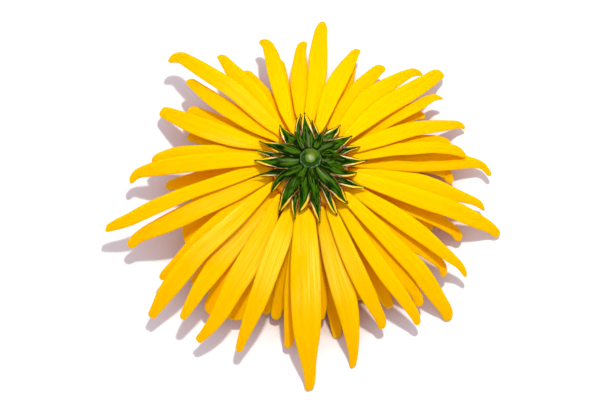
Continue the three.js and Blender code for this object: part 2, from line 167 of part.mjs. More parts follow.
// Cushion-shaped receptacle: flat below, a bell above.
const dome = (r) => DOME_BASE + DOME_RISE / (1 + Math.pow(r / DOME_SPAN, 3));
const cushion = [[0, RECEPTACLE_BOTTOM], [RECEPTACLE_R - 1.0, RECEPTACLE_BOTTOM], [RECEPTACLE_R, RECEPTACLE_BOTTOM + 0.9]];
cushion.push([RECEPTACLE_R, dome(RECEPTACLE_R) - 0.35]);
for (const f of [0.94, 0.8, 0.66, 0.52, 0.38, 0.2]) cushion.push([RECEPTACLE_R * f, dome(RECEPTACLE_R * f)]);
cushion.push([0, dome(0)]);
add('receptacle', lathe(cushion), mats.receptacle, AXIS_X, AXIS_Y);

// Cut stem stub.
add('stem_stub', lathe([
  [0, STUB_BOTTOM], [STUB_R + STUB_FLARE, STUB_BOTTOM], [STUB_R + 0.03, STUB_BOTTOM + 0.9],
  [STUB_R, STUB_TOP - 0.2], [STUB_R - 0.15, STUB_TOP], [0, STUB_TOP],
]), mats.stem, AXIS_X, AXIS_Y);

// Short inner florets, packed together; their tips make the face it rests on.
add('centre_florets', lathe([
  [0, 0], [12, 0], [17.5, 0.6], [21.2, 1.6], [22.8, 2.6], [22.6, 3.4], [21.0, 4.8], [19.0, 6.9], [17.0, 8.9],
  [15.0, 10.7], [13.0, 12.3], [10.5, 13.0], [8.2, 12.5], [6.9, 12.7], [5.8, 13.6], [5.6, CORE_TOP], [0, CORE_TOP],
]), mats.core, AXIS_X, AXIS_Y);

export default flower;
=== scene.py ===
"""A cut chrysanthemum bloom lying face down, seen from its back: golden ray florets
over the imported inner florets, the green involucre and the cut stem on top."""
import math

import bpy
import numpy as np
from mathutils import Matrix, Vector


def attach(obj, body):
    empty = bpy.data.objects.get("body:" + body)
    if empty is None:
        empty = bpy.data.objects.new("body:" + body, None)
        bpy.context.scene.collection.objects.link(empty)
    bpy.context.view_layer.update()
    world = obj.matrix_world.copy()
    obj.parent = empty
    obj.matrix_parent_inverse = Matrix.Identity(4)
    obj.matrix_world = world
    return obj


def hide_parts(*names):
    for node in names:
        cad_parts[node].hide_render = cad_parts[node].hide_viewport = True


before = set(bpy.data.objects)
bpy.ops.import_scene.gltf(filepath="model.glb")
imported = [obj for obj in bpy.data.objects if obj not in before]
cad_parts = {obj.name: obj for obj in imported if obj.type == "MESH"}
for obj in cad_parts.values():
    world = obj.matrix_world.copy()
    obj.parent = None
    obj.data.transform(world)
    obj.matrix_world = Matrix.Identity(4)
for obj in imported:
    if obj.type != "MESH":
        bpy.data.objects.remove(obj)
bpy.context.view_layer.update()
MM = 0.001
AX, AY = 1.26, 0.50          # flower axis, mm

# Every outer ray floret, seen clockwise from +Y: name, length of its rounded tip (mm),
# and stations (x, y, z, half width) from the claw to the tip.
FLORETS = [
    ("ray_floret_01", 3.89, ((1.26, 8.1, 18.76, 0.62), (1.26, 10.67, 18.18, 0.68), (1.26, 13.21, 17.45, 1.17), (1.68, 15.65, 16.56, 1.4), (2.07, 18.06, 15.56, 1.58), (2.37, 20.46, 14.49, 1.75), (2.61, 22.84, 13.39, 1.89), (2.75, 25.27, 12.35, 1.92), (2.84, 27.74, 11.45, 1.89), (2.98, 30.16, 10.4, 1.8), (3.15, 32.51, 9.22, 1.63), (3.35, 34.8, 7.91, 1.44), (3.56, 37.02, 6.5, 1.31), (3.8, 39.18, 5.01, 1.26))),
    ("under_floret_01", 1.17, ((3.82, 7.66, 17.1, 0.62), (4.47, 9.48, 16.6, 0.7), (5.1, 11.27, 16, 0.91), (5.7, 13.04, 15.31, 1.1), (6.27, 14.8, 14.57, 1.32), (6.81, 16.55, 13.78, 1.47), (7.34, 18.27, 12.92, 1.53), (7.85, 19.96, 11.99, 1.57), (8.32, 21.62, 10.99, 1.5), (8.74, 23.25, 9.92, 1.4), (9.08, 24.86, 8.8, 1.28), (9.39, 26.44, 7.62, 1.15), (9.67, 27.99, 6.4, 1.02), (9.95, 29.51, 5.14, 0.89))),
    ("ray_floret_02", 1.36, ((2.61, 7.98, 19.7, 0.62), (3.13, 9.99, 19.24, 1.04), (3.75, 12.17, 18.59, 1.31), (4.35, 14.31, 17.83, 1.58), (4.91, 16.42, 16.97, 1.78), (5.54, 18.47, 15.99, 1.92), (6.27, 20.42, 14.92, 1.97), (6.98, 22.32, 13.72, 1.92), (7.69, 24.16, 12.44, 1.81), (8.41, 25.95, 11.1, 1.68), (9.09, 27.72, 9.71, 1.48), (9.77, 29.45, 8.27, 1.23), (10.43, 31.15, 6.79, 0.98), (11.18, 32.79, 5.28, 0.81))),
    ("ray_floret_03", 1.17, ((4.54, 7.35, 18.13, 0.62), (5.32, 9.13, 17.49, 0.99), (6.14, 11.01, 16.84, 1.23), (6.95, 12.87, 16.14, 1.45), (7.75, 14.7, 15.35, 1.6), (8.58, 16.49, 14.52, 1.69), (9.5, 18.23, 13.65, 1.74), (10.41, 19.92, 12.69, 1.72), (11.37, 21.54, 11.67, 1.67), (12.42, 23.06, 10.57, 1.6), (13.43, 24.55, 9.41, 1.51), (14.34, 26.05, 8.17, 1.36), (15.3, 27.48, 6.89, 1.19), (16.45, 28.73, 5.57, 0.99))),
    ("ray_floret_04", 0.97, ((5.62, 6.72, 18.83, 0.62), (6.83, 8.78, 18.2, 1.01), (8.07, 10.79, 17.48, 1.27), (9.3, 12.77, 16.65, 1.5), (10.52, 14.72, 15.75, 1.67), (11.74, 16.63, 14.79, 1.78), (13.1, 18.42, 13.75, 1.85), (14.62, 20.02, 12.65, 1.85), (16.18, 21.54, 11.49, 1.76), (17.71, 23.03, 10.25, 1.59), (19.23, 24.49, 8.95, 1.4), (20.75, 25.88, 7.59, 1.21), (22.39, 27.1, 6.21, 0.99), (24.41, 27.67, 4.93, 0.78))),
    ("ray_floret_05", 1.17, ((7.01, 5.47, 19.64, 0.62), (8.15, 7.1, 19.23, 0.9), (9.91, 9.24, 18.41, 1.24), (11.73, 11.27, 17.45, 1.58), (13.51, 13.25, 16.34, 1.8), (15.28, 15.18, 15.12, 1.95), (17.1, 16.99, 13.8, 2.05), (18.95, 18.7, 12.39, 2.08), (20.74, 20.4, 10.9, 2.06), (22.46, 22.1, 9.32, 1.95), (24.11, 23.81, 7.68, 1.83), (25.67, 25.52, 5.96, 1.7), (27.12, 27.29, 4.19, 1.51), (28.77, 28.77, 2.35, 1.26))),
    ("ray_floret_06", 0.78, ((7.01, 5.48, 16.86, 0.62), (8.69, 6.94, 16.4, 0.85), (10.4, 8.4, 16.01, 1.06), (12.12, 9.79, 15.45, 1.26), (13.81, 11.15, 14.73, 1.37), (15.45, 12.49, 13.87, 1.4), (17.11, 13.8, 13.02, 1.41), (18.82, 15.06, 12.19, 1.4), (20.5, 16.29, 11.25, 1.31), (22.16, 17.48, 10.23, 1.22), (23.67, 18.79, 9.11, 1.14), (25.06, 20.15, 7.93, 1.05), (26.6, 21.28, 6.67, 0.82), (28.43, 21.84, 5.43, 0.58))),
    ("under_floret_02", 0.78, ((6.94, 5.54, 16.11, 0.62), (8.34, 6.78, 15.71, 0.72), (9.82, 7.95, 15.4, 0.82), (11.32, 9.04, 14.97, 0.97), (12.8, 10.1, 14.38, 1.14), (14.21, 11.15, 13.65, 1.23), (15.58, 12.19, 12.81, 1.27), (16.93, 13.17, 11.88, 1.29), (18.28, 14.09, 10.88, 1.25), (19.59, 14.98, 9.82, 1.18), (20.87, 15.85, 8.7, 1.1), (22.13, 16.69, 7.54, 0.99), (23.4, 17.46, 6.34, 0.91), (24.83, 17.87, 5.15, 0.86))),
    ("ray_floret_07", 0.78, ((7.8, 4.37, 18.95, 0.62), (10.03, 5.57, 18.43, 1.13), (12.22, 6.74, 17.7, 1.42), (14.38, 7.86, 16.81, 1.59), (16.46, 8.99, 15.76, 1.67), (18.43, 10.15, 14.54, 1.68), (20.32, 11.29, 13.18, 1.67), (22.19, 12.35, 11.73, 1.63), (24.08, 13.26, 10.22, 1.58), (25.95, 14.12, 8.65, 1.49), (27.79, 14.94, 7.02, 1.38), (29.59, 15.75, 5.34, 1.2), (31.35, 16.55, 3.61, 0.96), (33.25, 16.87, 1.89, 0.71))),
    ("ray_floret_08", 1.17, ((8.02, 3.97, 17.4, 0.62), (9.88, 4.78, 16.91, 0.93), (11.72, 5.54, 16.24, 1.09), (13.53, 6.27, 15.51, 1.27), (15.32, 7.02, 14.71, 1.4), (17.07, 7.77, 13.85, 1.5), (18.8, 8.47, 12.9, 1.58), (20.5, 9.15, 11.88, 1.59), (22.14, 9.82, 10.77, 1.55), (23.74, 10.47, 9.59, 1.5), (25.31, 11.08, 8.35, 1.41), (26.86, 11.61, 7.04, 1.26), (28.42, 11.98, 5.69, 1.01), (30.01, 12.07, 4.33, 0.74))),
    ("ray_floret_09", 1.36, ((8.22, 3.56, 18.25, 0.62), (9.63, 3.91, 17.85, 0.97), (11.76, 4.53, 17.22, 1.09), (13.84, 5.2, 16.46, 1.17), (15.85, 5.93, 15.59, 1.23), (17.84, 6.63, 14.64, 1.29), (19.88, 7.18, 13.71, 1.35), (21.96, 7.68, 12.81, 1.37), (23.94, 8.23, 11.76, 1.32), (25.82, 8.79, 10.55, 1.29), (27.69, 9.21, 9.25, 1.31), (29.51, 9.49, 7.86, 1.24), (31.31, 9.55, 6.4, 1.07), (33.06, 9.36, 4.91, 0.91))),
    ("ray_floret_10", 0.58, ((8.41, 3.07, 16.65, 0.62), (11.16, 3.35, 15.55, 1.03), (13.77, 3.87, 14.51, 1.36), (16.31, 4.46, 13.34, 1.69), (18.77, 5.02, 11.99, 1.93), (21.1, 5.62, 10.44, 2.06), (23.41, 6.24, 8.88, 2.12), (25.73, 6.88, 7.34, 2.09), (28.14, 7.48, 5.93, 1.97), (30.75, 7.93, 4.85, 1.75), (33.53, 7.98, 4.22, 1.35), (36.27, 7.47, 3.62, 0.83), (38.09, 5.38, 3.17, 0.47))),
    ("under_floret_03", 0.58, ((8.16, 3.69, 13.1, 0.62), (10.24, 3.14, 13.84, 0.98), (12.46, 3.28, 13.72, 1.15), (14.61, 3.57, 13.19, 1.27), (16.61, 3.99, 12.3, 1.29), (18.53, 4.47, 11.24, 1.3), (20.39, 4.94, 10.11, 1.32), (22.22, 5.35, 8.89, 1.34), (24.01, 5.73, 7.61, 1.36), (25.75, 6.01, 6.24, 1.36), (27.43, 6.11, 4.77, 1.31), (29.06, 5.72, 3.32, 1.13), (30.08, 3.97, 2.58, 0.69))),
    ("ray_floret_11", 0.58, ((8.86, 0.38, 18.57, 0.62), (10.67, 0.13, 18.1, 1.16), (13.32, 0.09, 17.28, 1.44), (15.93, 0.11, 16.32, 1.63), (18.49, 0.14, 15.24, 1.74), (20.99, 0.23, 14.04, 1.82), (23.44, 0.28, 12.73, 1.88), (25.83, 0.01, 11.34, 1.85), (28.14, -0.29, 9.84, 1.73), (30.41, -0.55, 8.25, 1.46), (32.62, -0.69, 6.59, 1.14), (34.78, -0.92, 4.84, 0.88), (36.78, -1.71, 3.1, 0.63))),
    ("ray_floret_12", 0.78, ((8.8, -0.47, 19.47, 0.62), (11.27, -1.17, 18.82, 1.28), (14.18, -1.74, 17.84, 1.56), (17.04, -2.28, 16.71, 1.75), (19.84, -2.79, 15.42, 1.91), (22.58, -3.23, 13.99, 2.03), (25.27, -3.58, 12.42, 2.07), (27.88, -3.85, 10.73, 2.02), (30.42, -4.2, 8.95, 1.96), (32.88, -4.69, 7.08, 1.86), (35.27, -5.15, 5.12, 1.64), (37.59, -5.69, 3.1, 1.24), (39.67, -6.85, 1.08, 0.8))),
    ("under_floret_04", 0.78, ((8.78, -0.58, 13.81, 0.62), (9.64, -1.47, 14.24, 0.81), (11.45, -2.22, 14.07, 0.95), (13.25, -2.85, 13.61, 1.09), (15, -3.31, 12.84, 1.18), (16.65, -3.72, 11.85, 1.25), (18.19, -4.11, 10.7, 1.27), (19.67, -4.4, 9.42, 1.22), (21.07, -4.63, 8.07, 1.16), (22.43, -4.8, 6.65, 1.1), (23.72, -5, 5.19, 1.01), (24.95, -5.28, 3.68, 0.91), (26.06, -5.82, 2.14, 0.79))),
    ("ray_floret_13", 0.78, ((8.74, -0.84, 15.85, 0.62), (10.29, -1.6, 15.28, 0.93), (12.58, -2.35, 15.06, 1.13), (14.85, -2.99, 14.54, 1.39), (17.06, -3.58, 13.76, 1.54), (19.2, -4.11, 12.75, 1.61), (21.26, -4.54, 11.56, 1.66), (23.26, -4.92, 10.25, 1.62), (25.17, -5.31, 8.82, 1.53), (27, -5.78, 7.31, 1.41), (28.75, -6.31, 5.73, 1.27), (30.4, -6.99, 4.09, 1.12), (31.68, -8.32, 2.55, 0.91))),
    ("ray_floret_14", 0.58, ((8.19, -2.61, 18.75, 0.62), (9, -2.98, 18.47, 1.12), (11.46, -4.16, 17.68, 1.34), (13.84, -5.41, 16.85, 1.53), (16.23, -6.59, 15.93, 1.72), (18.53, -7.82, 14.87, 1.84), (20.78, -9.01, 13.67, 1.85), (22.99, -10.17, 12.34, 1.77), (25.08, -11.39, 10.9, 1.57), (27.1, -12.61, 9.36, 1.36), (29.12, -13.71, 7.73, 1.14), (31.05, -14.86, 6.02, 0.8), (32.45, -16.61, 4.34, 0.46))),
    ("ray_floret_15", 0.58, ((7.92, -3.16, 17.25, 0.62), (9.55, -4.5, 16.39, 0.96), (11.48, -5.8, 15.9, 1.1), (13.38, -7.07, 15.24, 1.26), (15.26, -8.26, 14.41, 1.37), (17.13, -9.35, 13.43, 1.46), (18.95, -10.38, 12.31, 1.52), (20.76, -11.3, 11.09, 1.49), (22.56, -12.12, 9.77, 1.42), (24.32, -12.89, 8.38, 1.3), (26.02, -13.69, 6.91, 1.17), (27.5, -14.75, 5.4, 0.95), (27.98, -16.67, 4.15, 0.55))),
    ("ray_floret_16", 1.17, ((7.23, -4.2, 19.73, 0.62), (8.54, -5.39, 19.24, 1.09), (10.57, -7.16, 18.29, 1.29), (12.58, -8.85, 17.17, 1.45), (14.58, -10.47, 15.91, 1.57), (16.48, -12.09, 14.53, 1.66), (18.41, -13.59, 13.04, 1.79), (20.33, -15.01, 11.45, 1.91), (22.15, -16.43, 9.78, 1.95), (23.79, -18, 8.03, 1.92), (25.3, -19.61, 6.21, 1.82), (26.77, -21.18, 4.33, 1.62), (28.2, -22.72, 2.38, 1.35), (29.18, -24.58, 0.46, 1.05))),
    ("ray_floret_17", 0.97, ((6.56, -4.94, 17.73, 0.62), (7.72, -6.55, 17.22, 1.01), (9.21, -8.26, 16.46, 1.25), (10.73, -9.91, 15.61, 1.47), (12.26, -11.5, 14.69, 1.6), (13.81, -13.03, 13.69, 1.65), (15.37, -14.45, 12.56, 1.67), (16.93, -15.8, 11.34, 1.62), (18.46, -17.08, 10.02, 1.54), (19.95, -18.33, 8.61, 1.46), (21.31, -19.62, 7.13, 1.29), (22.47, -21.05, 5.59, 1.08), (22.98, -22.85, 4.11, 0.85))),
    ("ray_floret_18", 0.78, ((6.26, -5.22, 18.66, 0.62), (6.97, -6.32, 18.3, 0.95), (8.3, -8.26, 17.55, 1.14), (9.63, -10.17, 16.71, 1.29), (10.95, -12.06, 15.84, 1.38), (12.29, -13.9, 14.86, 1.47), (13.68, -15.63, 13.79, 1.53), (15.06, -17.32, 12.63, 1.57), (16.44, -18.95, 11.38, 1.57), (17.86, -20.47, 10.06, 1.51), (19.27, -21.95, 8.67, 1.4), (20.61, -23.43, 7.22, 1.24), (21.83, -24.95, 5.7, 1.01), (22.7, -26.67, 4.16, 0.64))),
    ("under_floret_05", 0.78, ((5.99, -5.45, 16.91, 0.62), (6.98, -7.03, 16.39, 0.73), (7.87, -8.6, 15.72, 0.84), (8.75, -10.15, 14.93, 0.99), (9.64, -11.63, 14.05, 1.13), (10.52, -13.05, 13.08, 1.24), (11.39, -14.43, 12.03, 1.39), (12.27, -15.75, 10.92, 1.49), (13.14, -17.02, 9.74, 1.49), (14, -18.24, 8.51, 1.48), (14.84, -19.43, 7.23, 1.43), (15.68, -20.57, 5.91, 1.33), (16.49, -21.68, 4.55, 1.19), (17.25, -22.79, 3.15, 0.95))),
    ("ray_floret_19", 0.97, ((4.89, -6.18, 19.34, 0.62), (5.35, -7.94, 18.9, 1.04), (6.25, -10.08, 18.08, 1.23), (7.18, -12.12, 17.08, 1.43), (8.12, -14.08, 15.93, 1.58), (9.08, -15.96, 14.68, 1.68), (10.08, -17.75, 13.34, 1.75), (11.08, -19.48, 11.9, 1.75), (12.08, -21.12, 10.37, 1.71), (13.1, -22.69, 8.78, 1.56), (14.13, -24.18, 7.13, 1.34), (15.08, -25.67, 5.42, 1.08), (15.54, -27.35, 3.7, 0.78))),
    ("ray_floret_20", 0.97, ((3.36, -6.8, 18.42, 0.62), (3.46, -8.22, 17.95, 1.09), (4.17, -10.92, 16.89, 1.48), (4.93, -13.52, 15.69, 1.81), (5.63, -16.06, 14.32, 2.03), (6.45, -18.48, 12.8, 2.16), (7.32, -20.84, 11.23, 2.29), (8.17, -23.19, 9.63, 2.3), (8.81, -25.53, 7.93, 2.06), (9.22, -27.87, 6.14, 1.71), (9.58, -30.12, 4.23, 1.32), (9.74, -32.32, 2.25, 0.91), (9.61, -34.48, 0.22, 0.55))),
    ("under_floret_06", 0.78, ((2.43, -7.01, 16.53, 0.62), (2.79, -8.84, 15.59, 0.67), (3.1, -10.67, 14.61, 0.76), (3.36, -12.44, 13.5, 0.91), (3.62, -14.12, 12.28, 1.06), (3.88, -15.75, 10.98, 1.16), (4.16, -17.31, 9.6, 1.24), (4.47, -18.82, 8.18, 1.3), (4.84, -20.27, 6.71, 1.3), (5.24, -21.7, 5.22, 1.25), (5.66, -23.2, 3.82, 1.2), (6.05, -24.9, 2.64, 1.12), (6.39, -26.61, 1.48, 1.01), (6.68, -28.29, 0.25, 0.82))),
    ("under_floret_07", 0.97, ((1.41, -7.1, 17.67, 0.62), (1.49, -8.81, 17.03, 0.69), (1.69, -10.44, 16.24, 0.8), (1.85, -12.04, 15.35, 0.93), (2, -13.57, 14.38, 1.07), (2.16, -15.06, 13.33, 1.22), (2.32, -16.5, 12.21, 1.37), (2.48, -17.89, 11.03, 1.52), (2.66, -19.23, 9.81, 1.59), (2.81, -20.55, 8.55, 1.66), (2.91, -21.83, 7.25, 1.67), (2.94, -23.08, 5.92, 1.56), (2.89, -24.28, 4.54, 1.38), (2.77, -25.4, 3.11, 1.1))),
    ("ray_floret_21", 0.97, ((-0.55, -6.88, 19.75, 0.62), (0.11, -9.37, 19.26, 1.89), (0.15, -12.47, 18.32, 2.35), (0.17, -15.47, 17.11, 2.67), (0.22, -18.37, 15.67, 2.88), (0.29, -21.2, 14.11, 2.98), (0.36, -23.96, 12.43, 2.98), (0.48, -26.65, 10.65, 2.9), (0.57, -29.28, 8.77, 2.68), (0.69, -31.85, 6.8, 2.16), (0.9, -34.35, 4.76, 1.56), (1.13, -36.78, 2.65, 1.16), (1, -39.16, 0.46, 0.85))),
    ("ray_floret_22", 0.97, ((-0.6, -6.87, 17.89, 0.62), (-1.01, -8.95, 17.19, 0.75), (-1.34, -11.01, 16.39, 0.87), (-1.62, -13.03, 15.49, 1.01), (-1.87, -15.01, 14.49, 1.14), (-2.09, -16.94, 13.4, 1.23), (-2.28, -18.84, 12.23, 1.34), (-2.43, -20.69, 10.99, 1.41), (-2.54, -22.5, 9.68, 1.41), (-2.64, -24.26, 8.32, 1.36), (-2.73, -25.98, 6.9, 1.28), (-2.82, -27.66, 5.43, 1.17), (-2.95, -29.3, 3.91, 1), (-3.29, -30.86, 2.35, 0.82))),
    ("ray_floret_23", 1.17, ((-1.1, -6.72, 17.09, 0.62), (-1.66, -8.42, 16.51, 0.71), (-1.98, -10.11, 15.77, 0.78), (-2.33, -11.74, 14.93, 0.91), (-2.69, -13.31, 13.97, 1.08), (-3.05, -14.82, 12.92, 1.23), (-3.4, -16.27, 11.79, 1.36), (-3.75, -17.66, 10.58, 1.47), (-4.09, -19, 9.31, 1.48), (-4.38, -20.3, 7.99, 1.44), (-4.71, -21.54, 6.63, 1.38), (-5.12, -22.72, 5.23, 1.29), (-5.52, -23.86, 3.8, 1.12), (-5.74, -25, 2.33, 0.98))),
    ("under_floret_08", 0.97, ((-1.84, -6.44, 16.31, 0.62), (-2.36, -8.07, 15.67, 0.76), (-2.84, -9.68, 14.92, 0.86), (-3.31, -11.23, 14.06, 1), (-3.76, -12.72, 13.09, 1.12), (-4.19, -14.16, 12.04, 1.21), (-4.69, -15.51, 10.9, 1.3), (-5.2, -16.8, 9.69, 1.36), (-5.7, -18.03, 8.43, 1.33), (-6.19, -19.22, 7.12, 1.27), (-6.66, -20.37, 5.76, 1.19), (-7.09, -21.49, 4.37, 1.1), (-7.49, -22.59, 2.96, 1), (-7.85, -23.67, 1.53, 0.87))),
    ("ray_floret_24", 0.97, ((-2.49, -6.11, 19.03, 0.62), (-2.92, -8.23, 18.52, 1.3), (-3.78, -10.7, 17.77, 1.8), (-4.72, -13.15, 17.06, 2.12), (-5.67, -15.56, 16.26, 2.16), (-6.63, -17.92, 15.31, 2.11), (-7.53, -20.2, 14.15, 2.07), (-8.43, -22.38, 12.81, 1.99), (-9.38, -24.47, 11.36, 1.86), (-10.34, -26.5, 9.82, 1.61), (-11.29, -28.48, 8.23, 1.31), (-12.21, -30.42, 6.57, 0.98), (-13.01, -32.38, 4.87, 0.68))),
    ("ray_floret_25", 1.17, ((-4.38, -4.6, 16.06, 0.62), (-5.87, -5.92, 15.53, 0.99), (-6.56, -7.72, 14.92, 1.33), (-7.22, -9.53, 14.21, 1.65), (-7.91, -11.32, 13.48, 2.06), (-8.64, -13.06, 12.68, 2.36), (-9.38, -14.78, 11.84, 2.53), (-10.13, -16.45, 10.9, 2.67), (-10.88, -18.05, 9.87, 2.63), (-11.61, -19.61, 8.74, 2.52), (-12.31, -21.11, 7.53, 2.39), (-12.95, -22.58, 6.25, 2.29), (-13.48, -24.05, 4.92, 2.21), (-13.87, -25.53, 3.55, 2.08))),
    ("ray_floret_26", 0.58, ((-4.57, -4.38, 18.49, 0.62), (-5.77, -6.48, 17.83, 1.12), (-6.65, -8.85, 17.16, 1.51), (-7.67, -11.12, 16.37, 1.9), (-8.75, -13.35, 15.53, 2.27), (-10, -15.46, 14.63, 2.47), (-11.36, -17.49, 13.72, 2.46), (-12.72, -19.52, 12.79, 2.36), (-14, -21.55, 11.76, 2.15), (-15.2, -23.58, 10.64, 1.95), (-16.42, -25.56, 9.43, 1.72), (-17.82, -27.34, 8.15, 1.41), (-19.38, -28.94, 6.8, 1.08), (-21.12, -30.33, 5.41, 0.75))),
    ("under_floret_09", 0.58, ((-4.91, -3.94, 16.77, 0.62), (-6.52, -5.32, 16.41, 0.85), (-7.58, -7.13, 15.81, 1.03), (-8.65, -8.89, 15.12, 1.37), (-9.71, -10.64, 14.36, 1.79), (-10.77, -12.36, 13.57, 2.11), (-11.85, -14.02, 12.68, 2.29), (-12.96, -15.6, 11.68, 2.39), (-14.05, -17.13, 10.59, 2.33), (-15.13, -18.61, 9.43, 2.23), (-16.22, -20.03, 8.19, 2.06), (-17.26, -21.43, 6.89, 1.88), (-18.22, -22.84, 5.55, 1.61), (-19.13, -24.24, 4.16, 1.03))),
    ("ray_floret_27", 0.78, ((-5.3, -3.34, 17.81, 0.62), (-5.97, -4.4, 17.39, 0.92), (-7.58, -6.25, 16.8, 1.19), (-9.19, -8.06, 16.08, 1.5), (-10.8, -9.82, 15.26, 1.72), (-12.43, -11.53, 14.37, 1.89), (-14.1, -13.21, 13.49, 2.03), (-15.75, -14.96, 12.72, 2.16), (-17.28, -16.84, 12.05, 2.07), (-18.76, -18.79, 11.43, 1.88), (-20.24, -20.71, 10.69, 1.65), (-21.55, -22.68, 9.83, 1.38), (-22.83, -24.62, 8.85, 1.07), (-24.01, -26.57, 7.76, 0.7))),
    ("ray_floret_28", 0.39, ((-5.79, -2.33, 19.25, 0.62), (-7.99, -4.04, 18.71, 1.07), (-10.09, -5.86, 18.07, 1.36), (-12.16, -7.67, 17.31, 1.61), (-14.24, -9.43, 16.45, 1.77), (-16.35, -11.08, 15.49, 1.85), (-18.47, -12.68, 14.43, 1.94), (-20.55, -14.26, 13.28, 2.05), (-22.44, -16.01, 12.06, 2.1), (-24.2, -17.84, 10.77, 2.08), (-25.91, -19.67, 9.4, 1.99), (-27.55, -21.52, 7.98, 1.72), (-29.02, -23.47, 6.5, 1.27), (-30.47, -25.38, 4.96, 0.81))),
    ("under_floret_10", 0.78, ((-5.08, -3.69, 15.33, 0.41), (-6.67, -4.73, 14.76, 0.41), (-8.07, -6.09, 14.41, 0.45), (-9.47, -7.44, 14.01, 0.54), (-10.88, -8.73, 13.46, 0.69), (-12.27, -9.95, 12.76, 0.87), (-13.63, -11.13, 11.92, 1.06), (-14.93, -12.28, 10.97, 1.28), (-16.25, -13.33, 9.92, 1.34), (-17.57, -14.3, 8.79, 1.33), (-18.84, -15.24, 7.6, 1.25), (-20.09, -16.16, 6.36, 1.1), (-21.31, -17.04, 5.07, 0.93), (-22.52, -17.89, 3.75, 0.71))),
    ("under_floret_11", 0.78, ((-6.02, -1.7, 16.86, 0.62), (-8.19, -2.35, 16.35, 0.7), (-10.26, -3.15, 15.78, 0.89), (-12.05, -4.58, 15.28, 1.13), (-13.85, -5.98, 14.79, 1.36), (-15.61, -7.38, 14.21, 1.56), (-17.35, -8.77, 13.52, 1.67), (-19.02, -10.16, 12.72, 1.78), (-20.65, -11.56, 11.82, 1.84), (-22.24, -12.94, 10.83, 1.77), (-23.82, -14.28, 9.76, 1.63), (-25.42, -15.51, 8.62, 1.38), (-27.1, -16.57, 7.41, 1.08), (-28.75, -17.61, 6.14, 0.68))),
    ("under_floret_12", 0.58, ((-6.12, -1.33, 16.13, 0.62), (-7.73, -1.74, 15.72, 0.68), (-9.35, -2.14, 15.32, 0.8), (-10.86, -2.84, 14.93, 0.98), (-12.33, -3.62, 14.51, 1.21), (-13.78, -4.36, 13.97, 1.48), (-15.2, -5.06, 13.32, 1.71), (-16.57, -5.76, 12.56, 1.9), (-17.9, -6.46, 11.72, 2.05), (-19.19, -7.13, 10.81, 2.1), (-20.45, -7.76, 9.84, 2.14), (-21.7, -8.35, 8.81, 2.19), (-22.94, -8.85, 7.75, 2.29), (-24.21, -9.2, 6.65, 2.42))),
    ("ray_floret_29", 0.97, ((-6.25, -0.67, 17.81, 0.62), (-8.68, -1.08, 17.17, 1.14), (-11.04, -1.92, 16.63, 1.5), (-13.37, -2.83, 16.1, 1.77), (-15.7, -3.67, 15.52, 1.91), (-18.03, -4.46, 14.82, 1.99), (-20.33, -5.24, 14.01, 2.03), (-22.58, -6.03, 13.1, 2.07), (-24.8, -6.78, 12.1, 2.04), (-27.01, -7.48, 11.03, 1.95), (-29.2, -8.12, 9.88, 1.76), (-31.37, -8.71, 8.66, 1.51), (-33.41, -9.55, 7.39, 1.2), (-35.1, -11, 6.15, 0.91))),
    ("ray_floret_30", 0.58, ((-6.3, 1.3, 18.35, 0.62), (-9.04, 1.13, 17.84, 1), (-11.73, 0.49, 17.32, 1.24), (-14.4, -0.28, 16.86, 1.37), (-17.06, -1.04, 16.32, 1.42), (-19.7, -1.74, 15.68, 1.42), (-22.33, -2.44, 14.95, 1.45), (-24.91, -3.19, 14.13, 1.53), (-27.45, -4, 13.22, 1.58), (-29.97, -4.79, 12.24, 1.6), (-32.43, -5.66, 11.2, 1.54), (-34.87, -6.52, 10.08, 1.39), (-37.35, -7.11, 8.89, 1.18), (-39.79, -7.74, 7.65, 0.7))),
    ("ray_floret_31", 0.58, ((-6.09, 2.43, 19.2, 0.62), (-8.55, 2.9, 18.95, 1.11), (-11.03, 3.11, 18.46, 1.41), (-13.45, 3.31, 17.74, 1.6), (-15.79, 3.54, 16.84, 1.73), (-18.12, 3.75, 15.86, 1.83), (-20.41, 3.94, 14.81, 1.91), (-22.69, 4.13, 13.72, 1.95), (-24.94, 4.31, 12.57, 1.94), (-27.16, 4.47, 11.37, 1.88), (-29.35, 4.54, 10.12, 1.74), (-31.52, 4.47, 8.82, 1.45), (-33.66, 4.2, 7.5, 1.06), (-35.32, 2.69, 6.48, 0.58))),
    ("under_floret_13", 0.97, ((-6.16, 2.14, 16.79, 0.62), (-8.03, 2.34, 16.24, 0.75), (-9.92, 2.26, 15.64, 0.94), (-11.78, 2.27, 14.99, 1.17), (-13.61, 2.32, 14.25, 1.37), (-15.4, 2.39, 13.4, 1.5), (-17.14, 2.38, 12.47, 1.62), (-18.84, 2.36, 11.46, 1.67), (-20.49, 2.37, 10.38, 1.61), (-22.1, 2.42, 9.23, 1.53), (-23.67, 2.5, 8.03, 1.43), (-25.2, 2.6, 6.78, 1.34), (-26.69, 2.66, 5.48, 1.22), (-28.14, 2.83, 4.15, 1.06))),
    ("ray_floret_32", 1.36, ((-5.74, 3.46, 17.43, 0.62), (-7.62, 4.22, 16.9, 0.87), (-9.57, 4.7, 16.37, 1.17), (-11.52, 5.09, 15.73, 1.45), (-13.45, 5.47, 15.03, 1.67), (-15.38, 5.85, 14.31, 1.82), (-17.35, 6.16, 13.69, 1.93), (-19.35, 6.34, 13.12, 2.01), (-21.33, 6.53, 12.5, 2.01), (-23.28, 6.75, 11.78, 2), (-25.21, 6.9, 10.98, 1.95), (-27.11, 6.88, 10.12, 1.83), (-28.98, 6.86, 9.19, 1.52), (-30.83, 6.8, 8.21, 1.01))),
